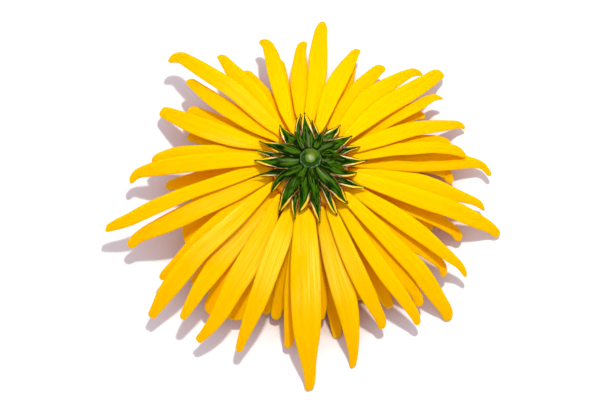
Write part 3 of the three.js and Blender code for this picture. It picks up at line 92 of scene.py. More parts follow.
    ("under_floret_14", 0.78, ((-5.19, 4.52, 16.68, 0.62), (-6.66, 5.44, 16.22, 0.7), (-8.12, 6.33, 15.71, 0.74), (-9.73, 6.9, 15.18, 0.99), (-11.3, 7.5, 14.55, 1.24), (-12.85, 8.1, 13.88, 1.46), (-14.36, 8.71, 13.13, 1.58), (-15.82, 9.33, 12.3, 1.67), (-17.25, 9.93, 11.41, 1.64), (-18.65, 10.52, 10.45, 1.54), (-19.99, 11.12, 9.44, 1.44), (-21.28, 11.77, 8.38, 1.34), (-22.51, 12.46, 7.27, 1.24), (-23.66, 13.21, 6.13, 1.09))),
    ("ray_floret_33", 0.97, ((-5.17, 4.55, 18.31, 0.62), (-7.25, 5.85, 17.76, 0.79), (-9.49, 6.76, 17.11, 1.11), (-11.7, 7.69, 16.37, 1.52), (-13.81, 8.75, 15.51, 1.87), (-15.82, 9.88, 14.51, 2.06), (-17.75, 11.04, 13.4, 2.17), (-19.64, 12.19, 12.21, 2.19), (-21.46, 13.38, 10.95, 2.12), (-23.18, 14.63, 9.63, 2.03), (-24.86, 15.89, 8.24, 1.85), (-26.49, 17.14, 6.79, 1.65), (-28.07, 18.4, 5.3, 1.46), (-29.65, 19.61, 3.76, 1.23))),
    ("ray_floret_34", 1.17, ((-4.75, 5.15, 17.45, 0.62), (-6.29, 6.35, 17.03, 0.73), (-8.05, 7.15, 16.52, 0.98), (-9.69, 8.13, 15.91, 1.26), (-11.24, 9.19, 15.22, 1.53), (-12.72, 10.29, 14.46, 1.72), (-14.2, 11.36, 13.63, 1.82), (-15.67, 12.39, 12.75, 1.86), (-17.1, 13.43, 11.81, 1.81), (-18.49, 14.47, 10.82, 1.74), (-19.85, 15.52, 9.8, 1.65), (-21.18, 16.58, 8.74, 1.56), (-22.46, 17.66, 7.66, 1.42), (-23.69, 18.78, 6.55, 1.19))),
    ("ray_floret_35", 0.97, ((-3.95, 6.03, 18.49, 0.62), (-5.46, 7.63, 18.08, 0.74), (-7.21, 8.91, 17.62, 1.05), (-8.97, 10.18, 17.09, 1.32), (-10.64, 11.53, 16.5, 1.54), (-12.26, 12.92, 15.85, 1.67), (-13.86, 14.3, 15.13, 1.71), (-15.45, 15.67, 14.36, 1.72), (-16.99, 17.06, 13.54, 1.67), (-18.46, 18.48, 12.66, 1.58), (-19.89, 19.93, 11.73, 1.45), (-21.24, 21.41, 10.75, 1.27), (-22.55, 22.9, 9.72, 1.07), (-23.84, 24.38, 8.65, 0.86))),
    ("ray_floret_36", 0.78, ((-3.25, 6.62, 19.23, 0.62), (-4.91, 8.8, 18.79, 0.89), (-6.83, 10.75, 18.3, 1.25), (-8.59, 12.82, 17.71, 1.51), (-10.35, 14.88, 17.06, 1.67), (-12.08, 16.92, 16.33, 1.76), (-13.84, 18.92, 15.53, 1.82), (-15.75, 20.74, 14.66, 1.83), (-17.73, 22.46, 13.73, 1.79), (-19.69, 24.17, 12.74, 1.74), (-21.6, 25.88, 11.68, 1.66), (-23.52, 27.56, 10.56, 1.5), (-25.56, 29.05, 9.4, 1.3), (-28.03, 28.76, 8.65, 0.71))),
    ("ray_floret_37", 0.78, ((-2.77, 6.94, 17.89, 0.62), (-3.98, 8.88, 17.51, 0.77), (-5.23, 10.78, 17.06, 1.06), (-6.44, 12.69, 16.56, 1.39), (-7.61, 14.6, 15.96, 1.69), (-8.74, 16.49, 15.27, 1.89), (-9.87, 18.35, 14.48, 1.99), (-11.05, 20.15, 13.62, 2.03), (-12.21, 21.92, 12.69, 1.96), (-13.35, 23.67, 11.69, 1.83), (-14.48, 25.4, 10.63, 1.61), (-15.49, 27.16, 9.52, 1.34), (-16.47, 28.91, 8.36, 1.07), (-17.47, 30.61, 7.15, 0.81))),
    ("ray_floret_38", 1.17, ((-2.18, 7.28, 17.16, 0.62), (-3.02, 8.93, 16.79, 0.69), (-3.86, 10.58, 16.4, 0.82), (-4.68, 12.24, 15.97, 1.06), (-5.49, 13.87, 15.45, 1.32), (-6.28, 15.47, 14.83, 1.56), (-7.06, 17.03, 14.09, 1.66), (-7.88, 18.53, 13.27, 1.73), (-8.71, 19.98, 12.37, 1.7), (-9.52, 21.4, 11.42, 1.64), (-10.31, 22.8, 10.42, 1.57), (-11.09, 24.17, 9.37, 1.49), (-11.81, 25.55, 8.28, 1.37), (-12.47, 26.92, 7.16, 1.17))),
    ("ray_floret_39", 0.78, ((-1.54, 7.57, 18.99, 0.62), (-2.38, 9.71, 18.52, 0.69), (-3.2, 11.84, 17.95, 0.88), (-3.72, 14.03, 17.3, 1.22), (-4.17, 16.22, 16.57, 1.42), (-4.61, 18.38, 15.76, 1.55), (-5.05, 20.51, 14.87, 1.64), (-5.48, 22.61, 13.9, 1.68), (-5.88, 24.68, 12.87, 1.68), (-6.22, 26.73, 11.78, 1.62), (-6.59, 28.74, 10.63, 1.53), (-7.08, 30.69, 9.41, 1.38), (-7.72, 32.57, 8.15, 1.15), (-9.08, 34.03, 6.95, 0.7))),
    ("under_floret_15", 1.36, ((-0.98, 7.76, 16.5, 0.62), (-1.53, 9.56, 16.13, 0.66), (-2.08, 11.34, 15.7, 0.72), (-2.62, 13.09, 15.18, 0.8), (-2.99, 14.89, 14.63, 1.04), (-3.35, 16.66, 14, 1.28), (-3.71, 18.41, 13.33, 1.43), (-4.1, 20.15, 12.63, 1.53), (-4.45, 21.84, 11.81, 1.55), (-4.71, 23.5, 10.9, 1.49), (-4.92, 25.13, 9.91, 1.43), (-5.11, 26.72, 8.87, 1.37), (-5.28, 28.27, 7.77, 1.27), (-5.43, 29.8, 6.63, 1.16))),
    ("ray_floret_40", 1.36, ((0.06, 8, 18.04, 0.62), (-0.29, 10.16, 17.53, 0.66), (-0.63, 12.28, 16.91, 0.74), (-0.93, 14.39, 16.23, 1.01), (-0.98, 16.51, 15.49, 1.26), (-1.02, 18.58, 14.63, 1.5), (-1.05, 20.61, 13.69, 1.72), (-1.02, 22.63, 12.74, 1.82), (-0.96, 24.68, 11.84, 1.75), (-0.9, 26.69, 10.85, 1.56), (-0.84, 28.65, 9.76, 1.37), (-0.75, 30.56, 8.59, 1.19), (-0.51, 32.41, 7.35, 1.03), (-0.06, 34.19, 6.08, 0.88))),
]
BRACTS = [
    ("bract_01", ((3.54, 4.11, 24.51, 0.77, 0.02, 0.91), (3.84, 4.64, 23.89, 0.83, 0.02, 0.86), (4.16, 5.19, 23.29, 0.9, 0.01, 0.81), (4.49, 5.74, 22.71, 0.97, -0, 0.75), (4.84, 6.34, 22.18, 1.07, -0.03, 0.64), (5.19, 6.93, 21.65, 1.15, -0.06, 0.52), (5.56, 7.5, 21.1, 1.15, -0.06, 0.44), (5.96, 8.02, 20.54, 1.03, -0.04, 0.39), (6.31, 8.59, 19.97, 0.85, -0.01, 0.34), (6.59, 9.2, 19.42, 0.55, -0.04, 0.29), (6.89, 9.8, 18.87, 0.3, -0.04, 0.25), (7.21, 10.39, 18.32, 0.08, -0, 0.25))),
    ("bract_02", ((2.84, 2.4, 24.88, 0.58, 0, 1.02), (3.75, 2.68, 25, 0.88, 0, 1.03), (4.63, 3.02, 24.94, 1.15, 0, 0.86), (5.35, 3.46, 24.48, 1.32, -0, 0.74), (5.94, 3.94, 23.89, 1.36, -0, 0.71), (6.47, 4.43, 23.27, 1.35, -0, 0.66), (7, 4.96, 22.67, 1.33, -0.02, 0.58), (7.5, 5.5, 22.06, 1.2, -0.02, 0.51), (7.99, 6.02, 21.42, 0.99, -0.03, 0.44), (8.48, 6.54, 20.78, 0.72, -0.04, 0.38), (8.97, 7.04, 20.13, 0.41, -0.04, 0.31), (9.45, 7.57, 19.5, 0.08, 0, 0.25))),
    ("bract_03", ((5.55, 2.34, 23.26, 0.68, -0, 0.81), (5.97, 2.63, 22.77, 0.72, -0.01, 0.74), (6.45, 2.92, 22.34, 0.76, -0.02, 0.68), (6.94, 3.24, 21.93, 0.79, -0.04, 0.62), (7.42, 3.57, 21.53, 0.8, -0.07, 0.55), (7.9, 3.91, 21.13, 0.8, -0.09, 0.48), (8.39, 4.23, 20.73, 0.78, -0.11, 0.43), (8.89, 4.54, 20.34, 0.72, -0.12, 0.4), (9.42, 4.82, 19.95, 0.64, -0.12, 0.37), (9.96, 5.04, 19.55, 0.52, -0.09, 0.32), (10.51, 5.25, 19.16, 0.35, -0.02, 0.26), (11.05, 5.51, 18.77, 0.08, 0, 0.25))),
    ("bract_04", ((4.56, 1.02, 24.33, 0.87, 0, 0.98), (5.48, 0.99, 24.05, 1.02, 0, 0.88), (6.34, 0.96, 23.66, 1.13, -0, 0.78), (7.09, 1.03, 23.07, 1.23, -0.02, 0.66), (7.79, 1.18, 22.43, 1.25, -0.03, 0.55), (8.48, 1.38, 21.8, 1.24, -0.04, 0.47), (9.16, 1.61, 21.17, 1.17, -0.05, 0.4), (9.83, 1.83, 20.53, 0.98, -0.04, 0.34), (10.5, 2.07, 19.89, 0.73, -0.03, 0.27), (11.16, 2.34, 19.25, 0.48, -0.02, 0.2), (11.8, 2.63, 18.61, 0.26, -0.01, 0.17), (12.44, 2.97, 17.98, 0.08, 0, 0.25))),
    ("bract_05", ((3.47, -0.45, 24.76, 0.61, -0.02, 1.04), (4.26, -0.7, 24.67, 0.82, -0.02, 1.05), (5.03, -1, 24.56, 0.97, 0.03, 0.97), (5.75, -1.29, 24.29, 1.07, 0.1, 0.86), (6.41, -1.41, 23.8, 1.1, 0.14, 0.79), (6.99, -1.42, 23.2, 1.06, 0.16, 0.73), (7.56, -1.42, 22.6, 1, 0.22, 0.63), (8.14, -1.32, 22.01, 0.91, 0.26, 0.56), (8.71, -1.14, 21.42, 0.77, 0.29, 0.5), (9.26, -0.92, 20.84, 0.59, 0.3, 0.47), (9.8, -0.64, 20.27, 0.36, 0.25, 0.42), (10.33, -0.34, 19.7, 0.08, 0, 0.25))),
    ("bract_06", ((5.04, -2.07, 23.34, 0.6, 0, 0.99), (5.63, -2.34, 22.91, 0.63, 0.03, 0.88), (6.24, -2.55, 22.48, 0.68, 0.05, 0.76), (6.86, -2.71, 22.05, 0.74, 0.08, 0.66), (7.51, -2.83, 21.63, 0.84, 0.1, 0.55), (8.17, -2.92, 21.24, 0.91, 0.11, 0.48), (8.82, -3.03, 20.83, 0.88, 0.14, 0.44), (9.47, -3.13, 20.43, 0.81, 0.2, 0.37), (10.14, -3.15, 20.03, 0.67, 0.21, 0.31), (10.81, -3.12, 19.64, 0.48, 0.16, 0.25), (11.47, -3.13, 19.24, 0.29, 0.13, 0.21), (12.14, -3.15, 18.84, 0.08, -0, 0.25))),
    ("bract_07", ((2.58, -1.6, 25.1, 0.53, -0, 1.01), (3.17, -2.27, 25, 0.81, -0, 1.01), (3.76, -2.9, 24.76, 0.95, 0.02, 0.96), (4.33, -3.39, 24.26, 1.06, 0.04, 0.91), (4.91, -3.85, 23.75, 1.23, 0.05, 0.81), (5.49, -4.29, 23.21, 1.34, 0.06, 0.73), (6.04, -4.71, 22.65, 1.34, 0.06, 0.67), (6.54, -5.13, 22.03, 1.31, 0.06, 0.54), (7, -5.56, 21.38, 1.16, 0.02, 0.43), (7.48, -5.96, 20.74, 0.91, -0.03, 0.33), (8, -6.31, 20.09, 0.53, -0.07, 0.27), (8.59, -6.58, 19.47, 0.08, -0, 0.25))),
    ("bract_08", ((3.18, -3.62, 23.37, 0.59, 0, 0.86), (3.59, -4.02, 22.98, 0.62, 0.01, 0.73), (3.96, -4.46, 22.58, 0.65, 0.02, 0.63), (4.27, -4.93, 22.17, 0.68, 0.03, 0.55), (4.51, -5.45, 21.77, 0.72, 0.03, 0.5), (4.73, -5.98, 21.37, 0.76, 0.03, 0.46), (4.99, -6.48, 20.97, 0.82, -0.01, 0.38), (5.26, -6.98, 20.57, 0.84, -0.02, 0.29), (5.52, -7.49, 20.17, 0.78, -0.04, 0.24), (5.81, -7.98, 19.77, 0.66, -0.06, 0.2), (6.13, -8.46, 19.37, 0.43, -0.07, 0.18), (6.46, -8.92, 18.98, 0.08, -0, 0.25))),
    ("bract_09", ((1.64, -5.23, 22.2, 0.66, 0, 1), (1.84, -5.69, 21.86, 0.83, -0.03, 0.8), (2.01, -6.15, 21.52, 0.93, -0.01, 0.71), (2.15, -6.63, 21.18, 0.99, 0.02, 0.66), (2.24, -7.12, 20.84, 0.99, 0.1, 0.6), (2.32, -7.62, 20.5, 0.94, 0.19, 0.52), (2.41, -8.1, 20.15, 0.86, 0.22, 0.45), (2.53, -8.59, 19.81, 0.74, 0.23, 0.38), (2.69, -9.07, 19.47, 0.59, 0.21, 0.33), (2.85, -9.52, 19.12, 0.41, 0.16, 0.3), (2.98, -9.88, 18.65, 0.25, 0.11, 0.27), (3.1, -10.25, 18.19, 0.08, -0, 0.25))),
    ("bract_10", ((1.34, -2.11, 25.46, 0.51, 0, 1), (1.45, -2.75, 25.41, 0.7, 0, 1), (1.56, -3.35, 25.15, 0.82, 0, 1), (1.67, -3.88, 24.77, 0.86, 0, 1), (1.79, -4.38, 24.36, 0.88, 0, 1), (1.91, -4.88, 23.95, 0.89, 0, 1), (2.05, -5.38, 23.54, 0.85, 0, 0.99), (2.17, -5.87, 23.12, 0.78, 0, 0.98), (2.28, -6.32, 22.65, 0.69, 0, 0.96), (2.38, -6.74, 22.14, 0.53, 0, 0.93), (2.47, -7.16, 21.64, 0.34, 0, 0.88), (2.57, -7.58, 21.14, 0.1, 0, 0.6))),
    ("bract_11", ((0.55, -1.84, 25, 0.48, 0, 1), (0.46, -2.62, 24.9, 0.74, 0, 1.01), (0.35, -3.32, 24.55, 0.88, 0, 0.99), (0.24, -3.95, 24.08, 0.95, 0, 0.97), (0.19, -4.57, 23.58, 1.05, -0.04, 0.88), (0.16, -5.18, 23.07, 1.14, -0.09, 0.81), (0.11, -5.8, 22.58, 1.18, -0.14, 0.74), (0.04, -6.43, 22.1, 1.18, -0.18, 0.62), (-0.14, -7.06, 21.65, 1.07, -0.24, 0.53), (-0.37, -7.66, 21.19, 0.86, -0.29, 0.43), (-0.69, -8.22, 20.73, 0.5, -0.25, 0.31), (-1.01, -8.79, 20.28, 0.08, 0, 0.25))),
    ("bract_12", ((-0.48, -2.25, 24.36, 0.67, 0, 1.01), (-0.98, -2.76, 23.89, 0.79, -0, 1), (-1.47, -3.29, 23.42, 0.92, -0, 0.99), (-1.95, -3.86, 22.99, 1.07, -0, 0.93), (-2.42, -4.44, 22.58, 1.2, 0.01, 0.81), (-2.87, -5.04, 22.17, 1.28, 0.02, 0.72), (-3.27, -5.68, 21.75, 1.27, -0.02, 0.6), (-3.62, -6.32, 21.3, 1.19, -0.06, 0.47), (-3.93, -6.84, 20.7, 0.99, -0.1, 0.38), (-4.26, -7.27, 20.03, 0.74, -0.08, 0.28), (-4.57, -7.72, 19.36, 0.43, 0.01, 0.21), (-4.75, -8.22, 18.69, 0.08, -0, 0.25))),
    ("bract_13", ((-0.79, -1.23, 24.98, 0.48, 0, 1), (-1.49, -1.53, 24.7, 0.69, 0.03, 1), (-2.18, -1.81, 24.4, 0.82, 0.03, 0.98), (-2.86, -2.04, 24.03, 0.85, 0, 0.95), (-3.5, -2.18, 23.55, 0.85, -0.02, 0.92), (-4.08, -2.35, 23.01, 0.85, -0.04, 0.86), (-4.62, -2.59, 22.46, 0.84, -0.07, 0.74), (-5.08, -2.87, 21.86, 0.82, -0.09, 0.61), (-5.48, -3.19, 21.23, 0.77, -0.11, 0.5), (-5.83, -3.55, 20.6, 0.65, -0.12, 0.45), (-6.17, -3.93, 19.97, 0.38, -0.07, 0.49), (-6.48, -4.34, 19.34, 0.08, -0, 0.25))),
    ("bract_14", ((-1.12, 0.13, 24.76, 0.64, 0, 1), (-2.04, 0.23, 24.45, 0.92, -0, 1), (-2.96, 0.31, 24.15, 1.06, -0, 0.95), (-3.85, 0.42, 23.79, 1.14, 0, 0.91), (-4.67, 0.6, 23.3, 1.24, 0.02, 0.81), (-5.45, 0.82, 22.76, 1.28, 0.03, 0.68), (-6.23, 1.05, 22.23, 1.28, 0.03, 0.52), (-6.99, 1.3, 21.69, 1.2, 0.02, 0.39), (-7.72, 1.57, 21.1, 0.96, -0.01, 0.31), (-8.42, 1.85, 20.49, 0.69, -0.05, 0.22), (-9.12, 2.15, 19.88, 0.39, -0.08, 0.18), (-9.81, 2.48, 19.29, 0.08, 0, 0.25))),
    ("bract_15", ((-0.85, 1.71, 25.06, 0.6, -0, 1.01), (-1.84, 2.17, 24.82, 0.85, 0, 1), (-2.73, 2.69, 24.38, 0.93, 0.05, 0.95), (-3.56, 3.21, 23.84, 0.95, 0.08, 0.89), (-4.36, 3.68, 23.2, 0.92, 0.1, 0.84), (-5.04, 4.15, 22.44, 0.86, 0.14, 0.74), (-5.69, 4.63, 21.66, 0.81, 0.18, 0.64), (-6.35, 5.11, 20.89, 0.75, 0.21, 0.51), (-7.01, 5.59, 20.11, 0.65, 0.24, 0.4), (-7.67, 6.07, 19.34, 0.49, 0.24, 0.32), (-8.32, 6.58, 18.58, 0.29, 0.19, 0.27), (-8.94, 7.15, 17.84, 0.08, 0, 0.25))),
    ("bract_16", ((-1.02, 3.01, 24.29, 0.84, 0.02, 1.03), (-1.5, 3.61, 23.87, 0.95, 0.01, 0.97), (-1.99, 4.23, 23.5, 1.08, -0.03, 0.86), (-2.43, 4.85, 23.08, 1.18, -0.07, 0.77), (-2.79, 5.48, 22.58, 1.21, -0.1, 0.71), (-3.12, 6.11, 22.07, 1.23, -0.11, 0.62), (-3.44, 6.74, 21.56, 1.21, -0.11, 0.53), (-3.75, 7.39, 21.06, 1.05, -0.1, 0.46), (-4.05, 8.05, 20.57, 0.84, -0.09, 0.4), (-4.34, 8.71, 20.08, 0.61, -0.05, 0.35), (-4.6, 9.39, 19.59, 0.35, 0, 0.29), (-4.81, 10.09, 19.11, 0.08, 0, 0.25))),
    ("bract_17", ((0.93, 2.95, 24.92, 0.77, -0, 0.99), (0.82, 4.04, 24.59, 1.04, 0.01, 0.96), (0.76, 5.12, 24.21, 1.1, 0.05, 0.88), (0.69, 6.13, 23.69, 1.13, 0.07, 0.78), (0.61, 7.05, 23.01, 1.18, 0.08, 0.63), (0.51, 7.97, 22.33, 1.19, 0.09, 0.51), (0.42, 8.88, 21.64, 1.17, 0.11, 0.41), (0.33, 9.79, 20.95, 1.07, 0.13, 0.3), (0.24, 10.67, 20.23, 0.89, 0.13, 0.22), (0.14, 11.53, 19.48, 0.65, 0.1, 0.17), (0.09, 12.38, 18.71, 0.36, 0.05, 0.16), (0.08, 13.24, 17.95, 0.08, -0, 0.25))),
    ("small_bract_01", ((2.22, 4.93, 23.79, 0.62, 0.07, 0.89), (2.27, 5.47, 23.39, 0.64, 0.08, 0.83), (2.29, 6, 22.97, 0.64, 0.09, 0.78), (2.28, 6.52, 22.55, 0.64, 0.1, 0.72), (2.24, 7.07, 22.16, 0.61, 0.13, 0.64), (2.17, 7.63, 21.78, 0.58, 0.18, 0.55), (2.1, 8.18, 21.39, 0.54, 0.23, 0.48), (2, 8.73, 21.01, 0.48, 0.23, 0.45), (1.89, 9.27, 20.62, 0.42, 0.23, 0.42), (1.78, 9.82, 20.24, 0.33, 0.23, 0.39), (1.66, 10.37, 19.88, 0.22, 0.22, 0.36), (1.52, 10.95, 19.55, 0.07, 0.14, 0.29))),
    ("small_bract_02", ((2.21, 2.51, 25.57, 0.57, 0, 1.01), (2.42, 3.07, 25.5, 0.69, 0, 1), (2.62, 3.62, 25.43, 0.72, 0, 1), (2.81, 4.16, 25.26, 0.69, 0, 0.99), (2.94, 4.64, 24.93, 0.64, 0, 0.96), (3.04, 5.08, 24.54, 0.6, 0, 0.94), (3.15, 5.54, 24.16, 0.53, 0, 0.92), (3.25, 5.98, 23.78, 0.43, 0, 0.89), (3.31, 6.35, 23.32, 0.35, 0, 0.87), (3.36, 6.7, 22.83, 0.27, 0, 0.84), (3.41, 7.04, 22.34, 0.2, 0, 0.79), (3.45, 7.36, 21.84, 0.14, 0, 0.71))),
    ("small_bract_03", ((3.19, 4.92, 23.1, 0.5, 0, 1), (3.32, 5.25, 22.75, 0.5, 0, 0.98), (3.46, 5.59, 22.41, 0.49, 0, 0.95), (3.6, 5.96, 22.1, 0.49, 0, 0.91), (3.74, 6.33, 21.79, 0.48, 0, 0.87), (3.87, 6.7, 21.49, 0.46, -0, 0.81), (3.98, 7.09, 21.19, 0.45, -0.02, 0.74), (4.09, 7.48, 20.9, 0.42, -0.04, 0.65), (4.19, 7.89, 20.63, 0.4, -0.06, 0.59), (4.27, 8.3, 20.36, 0.38, -0.09, 0.54), (4.37, 8.71, 20.09, 0.3, -0.12, 0.47), (4.5, 9.11, 19.82, 0.1, -0, 0.4))),
    ("small_bract_04", ((3.38, 1.49, 25.47, 0.47, 0, 1), (3.79, 1.55, 25.47, 0.59, 0, 1.01), (4.2, 1.57, 25.48, 0.66, 0, 1), (4.62, 1.59, 25.47, 0.7, 0, 1), (5.03, 1.59, 25.41, 0.7, 0, 1), (5.44, 1.53, 25.34, 0.65, 0, 0.98), (5.81, 1.49, 25.17, 0.57, 0, 0.95), (6.11, 1.5, 24.9, 0.5, 0, 0.92), (6.4, 1.51, 24.6, 0.43, 0, 0.9), (6.69, 1.51, 24.3, 0.35, 0, 0.87), (6.98, 1.48, 24.01, 0.25, 0, 0.83), (7.26, 1.45, 23.71, 0.14, 0, 0.71))),
    ("small_bract_05", ((3.65, -0.06, 25.38, 0.57, 0, 1.01), (4.05, -0.11, 25.32, 0.65, 0, 1), (4.43, -0.16, 25.25, 0.7, 0, 1), (4.82, -0.23, 25.18, 0.72, 0, 1), (5.2, -0.32, 25.1, 0.71, 0, 0.99), (5.58, -0.43, 25.02, 0.69, 0, 0.98), (5.94, -0.56, 24.92, 0.66, 0, 0.96), (6.3, -0.68, 24.81, 0.62, 0, 0.94), (6.66, -0.81, 24.68, 0.55, 0, 0.91), (7, -0.94, 24.52, 0.44, 0, 0.89), (7.33, -1.08, 24.35, 0.3, 0, 0.85), (7.66, -1.23, 24.18, 0.14, 0, 0.71))),
    ("small_bract_06", ((-1.28, -4.77, 22.08, 0.59, 0, 0.93), (-1.49, -5.17, 21.77, 0.64, 0.05, 0.77), (-1.66, -5.58, 21.47, 0.67, 0.08, 0.64), (-1.79, -6, 21.16, 0.69, 0.1, 0.56), (-1.85, -6.44, 20.85, 0.7, 0.11, 0.49), (-1.88, -6.91, 20.59, 0.68, 0.13, 0.46), (-1.92, -7.42, 20.42, 0.64, 0.17, 0.45), (-1.92, -7.93, 20.24, 0.58, 0.19, 0.43), (-1.87, -8.44, 20.07, 0.45, 0.16, 0.45), (-1.82, -8.95, 19.9, 0.33, 0.12, 0.46), (-1.79, -9.47, 19.73, 0.21, 0.08, 0.44), (-1.77, -9.95, 19.5, 0.08, -0, 0.25))),
    ("small_bract_07", ((0.07, -1.84, 25.5, 0.42, 0, 1), (-0.11, -2.22, 25.44, 0.57, 0, 1), (-0.29, -2.59, 25.37, 0.68, 0, 1), (-0.48, -2.93, 25.2, 0.73, 0, 1), (-0.67, -3.23, 24.96, 0.74, 0, 1), (-0.86, -3.52, 24.72, 0.71, 0, 0.99), (-1.06, -3.81, 24.48, 0.68, 0, 0.98), (-1.25, -4.09, 24.23, 0.63, 0, 0.97), (-1.45, -4.36, 23.97, 0.56, 0, 0.95), (-1.64, -4.6, 23.68, 0.45, 0, 0.92), (-1.83, -4.83, 23.38, 0.31, 0, 0.85), (-2.03, -5.06, 23.08, 0.16, 0, 0.63))),
    ("small_bract_08", ((-3, -1.17, 23.34, 0.6, -0.02, 0.98), (-3.62, -1.1, 22.81, 0.63, -0.05, 0.92), (-4.25, -1.02, 22.3, 0.65, -0.08, 0.86), (-4.9, -0.95, 21.8, 0.68, -0.11, 0.78), (-5.56, -0.88, 21.32, 0.69, -0.16, 0.71), (-6.21, -0.82, 20.84, 0.68, -0.23, 0.63), (-6.87, -0.76, 20.35, 0.6, -0.29, 0.54), (-7.52, -0.68, 19.87, 0.42, -0.3, 0.46), (-8.18, -0.62, 19.39, 0.29, -0.24, 0.41), (-8.84, -0.59, 18.9, 0.18, -0.11, 0.39), (-9.5, -0.59, 18.42, 0.11, -0.01, 0.35), (-10.15, -0.63, 17.93, 0.06, 0, 0.33))),
    ("small_bract_09", ((-3.29, 1.42, 23.28, 0.61, 0, 0.97), (-3.91, 1.71, 22.75, 0.65, 0, 0.88), (-4.56, 2.01, 22.26, 0.67, 0, 0.79), (-5.2, 2.33, 21.77, 0.68, 0, 0.72), (-5.83, 2.69, 21.29, 0.66, 0, 0.64), (-6.47, 3.07, 20.85, 0.62, 0, 0.56), (-7.13, 3.44, 20.42, 0.57, 0, 0.49), (-7.79, 3.8, 19.99, 0.51, 0, 0.45), (-8.46, 4.17, 19.56, 0.4, 0, 0.38), (-9.15, 4.48, 19.14, 0.22, 0, 0.31), (-9.6, 4.81, 18.53, 0.11, 0, 0.31), (-9.85, 5.14, 17.71, 0.06, 0, 0.33))),
    ("small_bract_10", ((-0.01, 2.34, 25.58, 0.46, 0, 1), (-0.21, 2.86, 25.39, 0.56, 0, 1), (-0.41, 3.38, 25.2, 0.62, 0, 1), (-0.62, 3.89, 25, 0.62, 0, 1), (-0.81, 4.4, 24.79, 0.58, 0, 0.99), (-0.98, 4.88, 24.5, 0.53, 0, 0.98), (-1.12, 5.31, 24.12, 0.48, 0, 0.96), (-1.23, 5.72, 23.71, 0.43, 0, 0.95), (-1.35, 6.12, 23.3, 0.37, 0, 0.93), (-1.47, 6.53, 22.89, 0.3, 0, 0.9), (-1.59, 6.93, 22.48, 0.22, 0, 0.84), (-1.71, 7.33, 22.07, 0.14, 0, 0.71))),
    ("small_bract_11", ((-0.51, 5.38, 22.75, 0.58, 0, 1), (-0.71, 5.97, 22.14, 0.61, -0.08, 0.88), (-0.92, 6.65, 21.65, 0.62, -0.15, 0.78), (-1.08, 7.37, 21.18, 0.62, -0.2, 0.7), (-1.2, 8.1, 20.72, 0.61, -0.23, 0.64), (-1.21, 8.84, 20.26, 0.53, -0.17, 0.66), (-1.2, 9.58, 19.8, 0.51, -0.17, 0.61), (-1.14, 10.31, 19.34, 0.5, -0.18, 0.5), (-1.06, 11.04, 18.87, 0.48, -0.21, 0.39), (-0.94, 11.76, 18.39, 0.4, -0.24, 0.3), (-0.81, 12.48, 17.92, 0.27, -0.24, 0.24), (-0.65, 13.19, 17.45, 0.06, 0, 0.33))),
]

# ------------------------------------------------------------------ camera
scene = bpy.context.scene
scene.view_settings.view_transform = "Standard"
scene.view_settings.look = "None"
cam_data = bpy.data.cameras.new("camera")
cam = bpy.data.objects.new("camera", cam_data)
scene.collection.objects.link(cam)
cam_data.lens, cam_data.sensor_width = 118.0, 36.0
cam_data.clip_start, cam_data.clip_end = 0.01, 20.0
CAM = Vector((0.3624, -140.0655, 385.877)) * MM
TARGET = Vector((0.3624, -3.2574, 10.0)) * MM
cam.location = CAM
cam.rotation_euler = (TARGET - CAM).to_track_quat("-Z", "Y").to_euler()
scene.camera = cam

# ------------------------------------------------------------------ light and floor
world = bpy.data.worlds.new("world")
scene.world = world
world.use_nodes = True
wn, wl = world.node_tree.nodes, world.node_tree.links
wn.clear()
w_out = wn.new("ShaderNodeOutputWorld")
w_amb = wn.new("ShaderNodeBackground")
w_amb.inputs["Color"].default_value = (0.937, 0.890, 1.0, 1)
w_amb.inputs["Strength"].default_value = 0.78
w_back = wn.new("ShaderNodeBackground")
w_back.inputs["Color"].default_value = (1, 1, 1, 1)
w_path = wn.new("ShaderNodeLightPath")
w_mix = wn.new("ShaderNodeMixShader")
wl.new(w_path.outputs["Is Camera Ray"], w_mix.inputs[0])
wl.new(w_amb.outputs[0], w_mix.inputs[1])
wl.new(w_back.outputs[0], w_mix.inputs[2])
wl.new(w_mix.outputs[0], w_out.inputs["Surface"])

# one soft lamp, near, high and to the upper right: cast shadows lean a little outwards
lamp_data = bpy.data.lights.new("key", "POINT")
lamp_data.energy = 6.9
lamp_data.color = (0.93, 0.965, 0.90)
lamp_data.shadow_soft_size = 0.016
lamp = bpy.data.objects.new("key", lamp_data)
lamp.location = Vector((51.5, 89.5, 460.0)) * MM
scene.collection.objects.link(lamp)

floor_mesh = bpy.data.meshes.new("floor")
floor_mesh.from_pydata([(-3, -3, 0), (3, -3, 0), (3, 3, 0), (-3, 3, 0)], [], [(0, 1, 2, 3)])
floor = bpy.data.objects.new("floor", floor_mesh)
scene.collection.objects.link(floor)


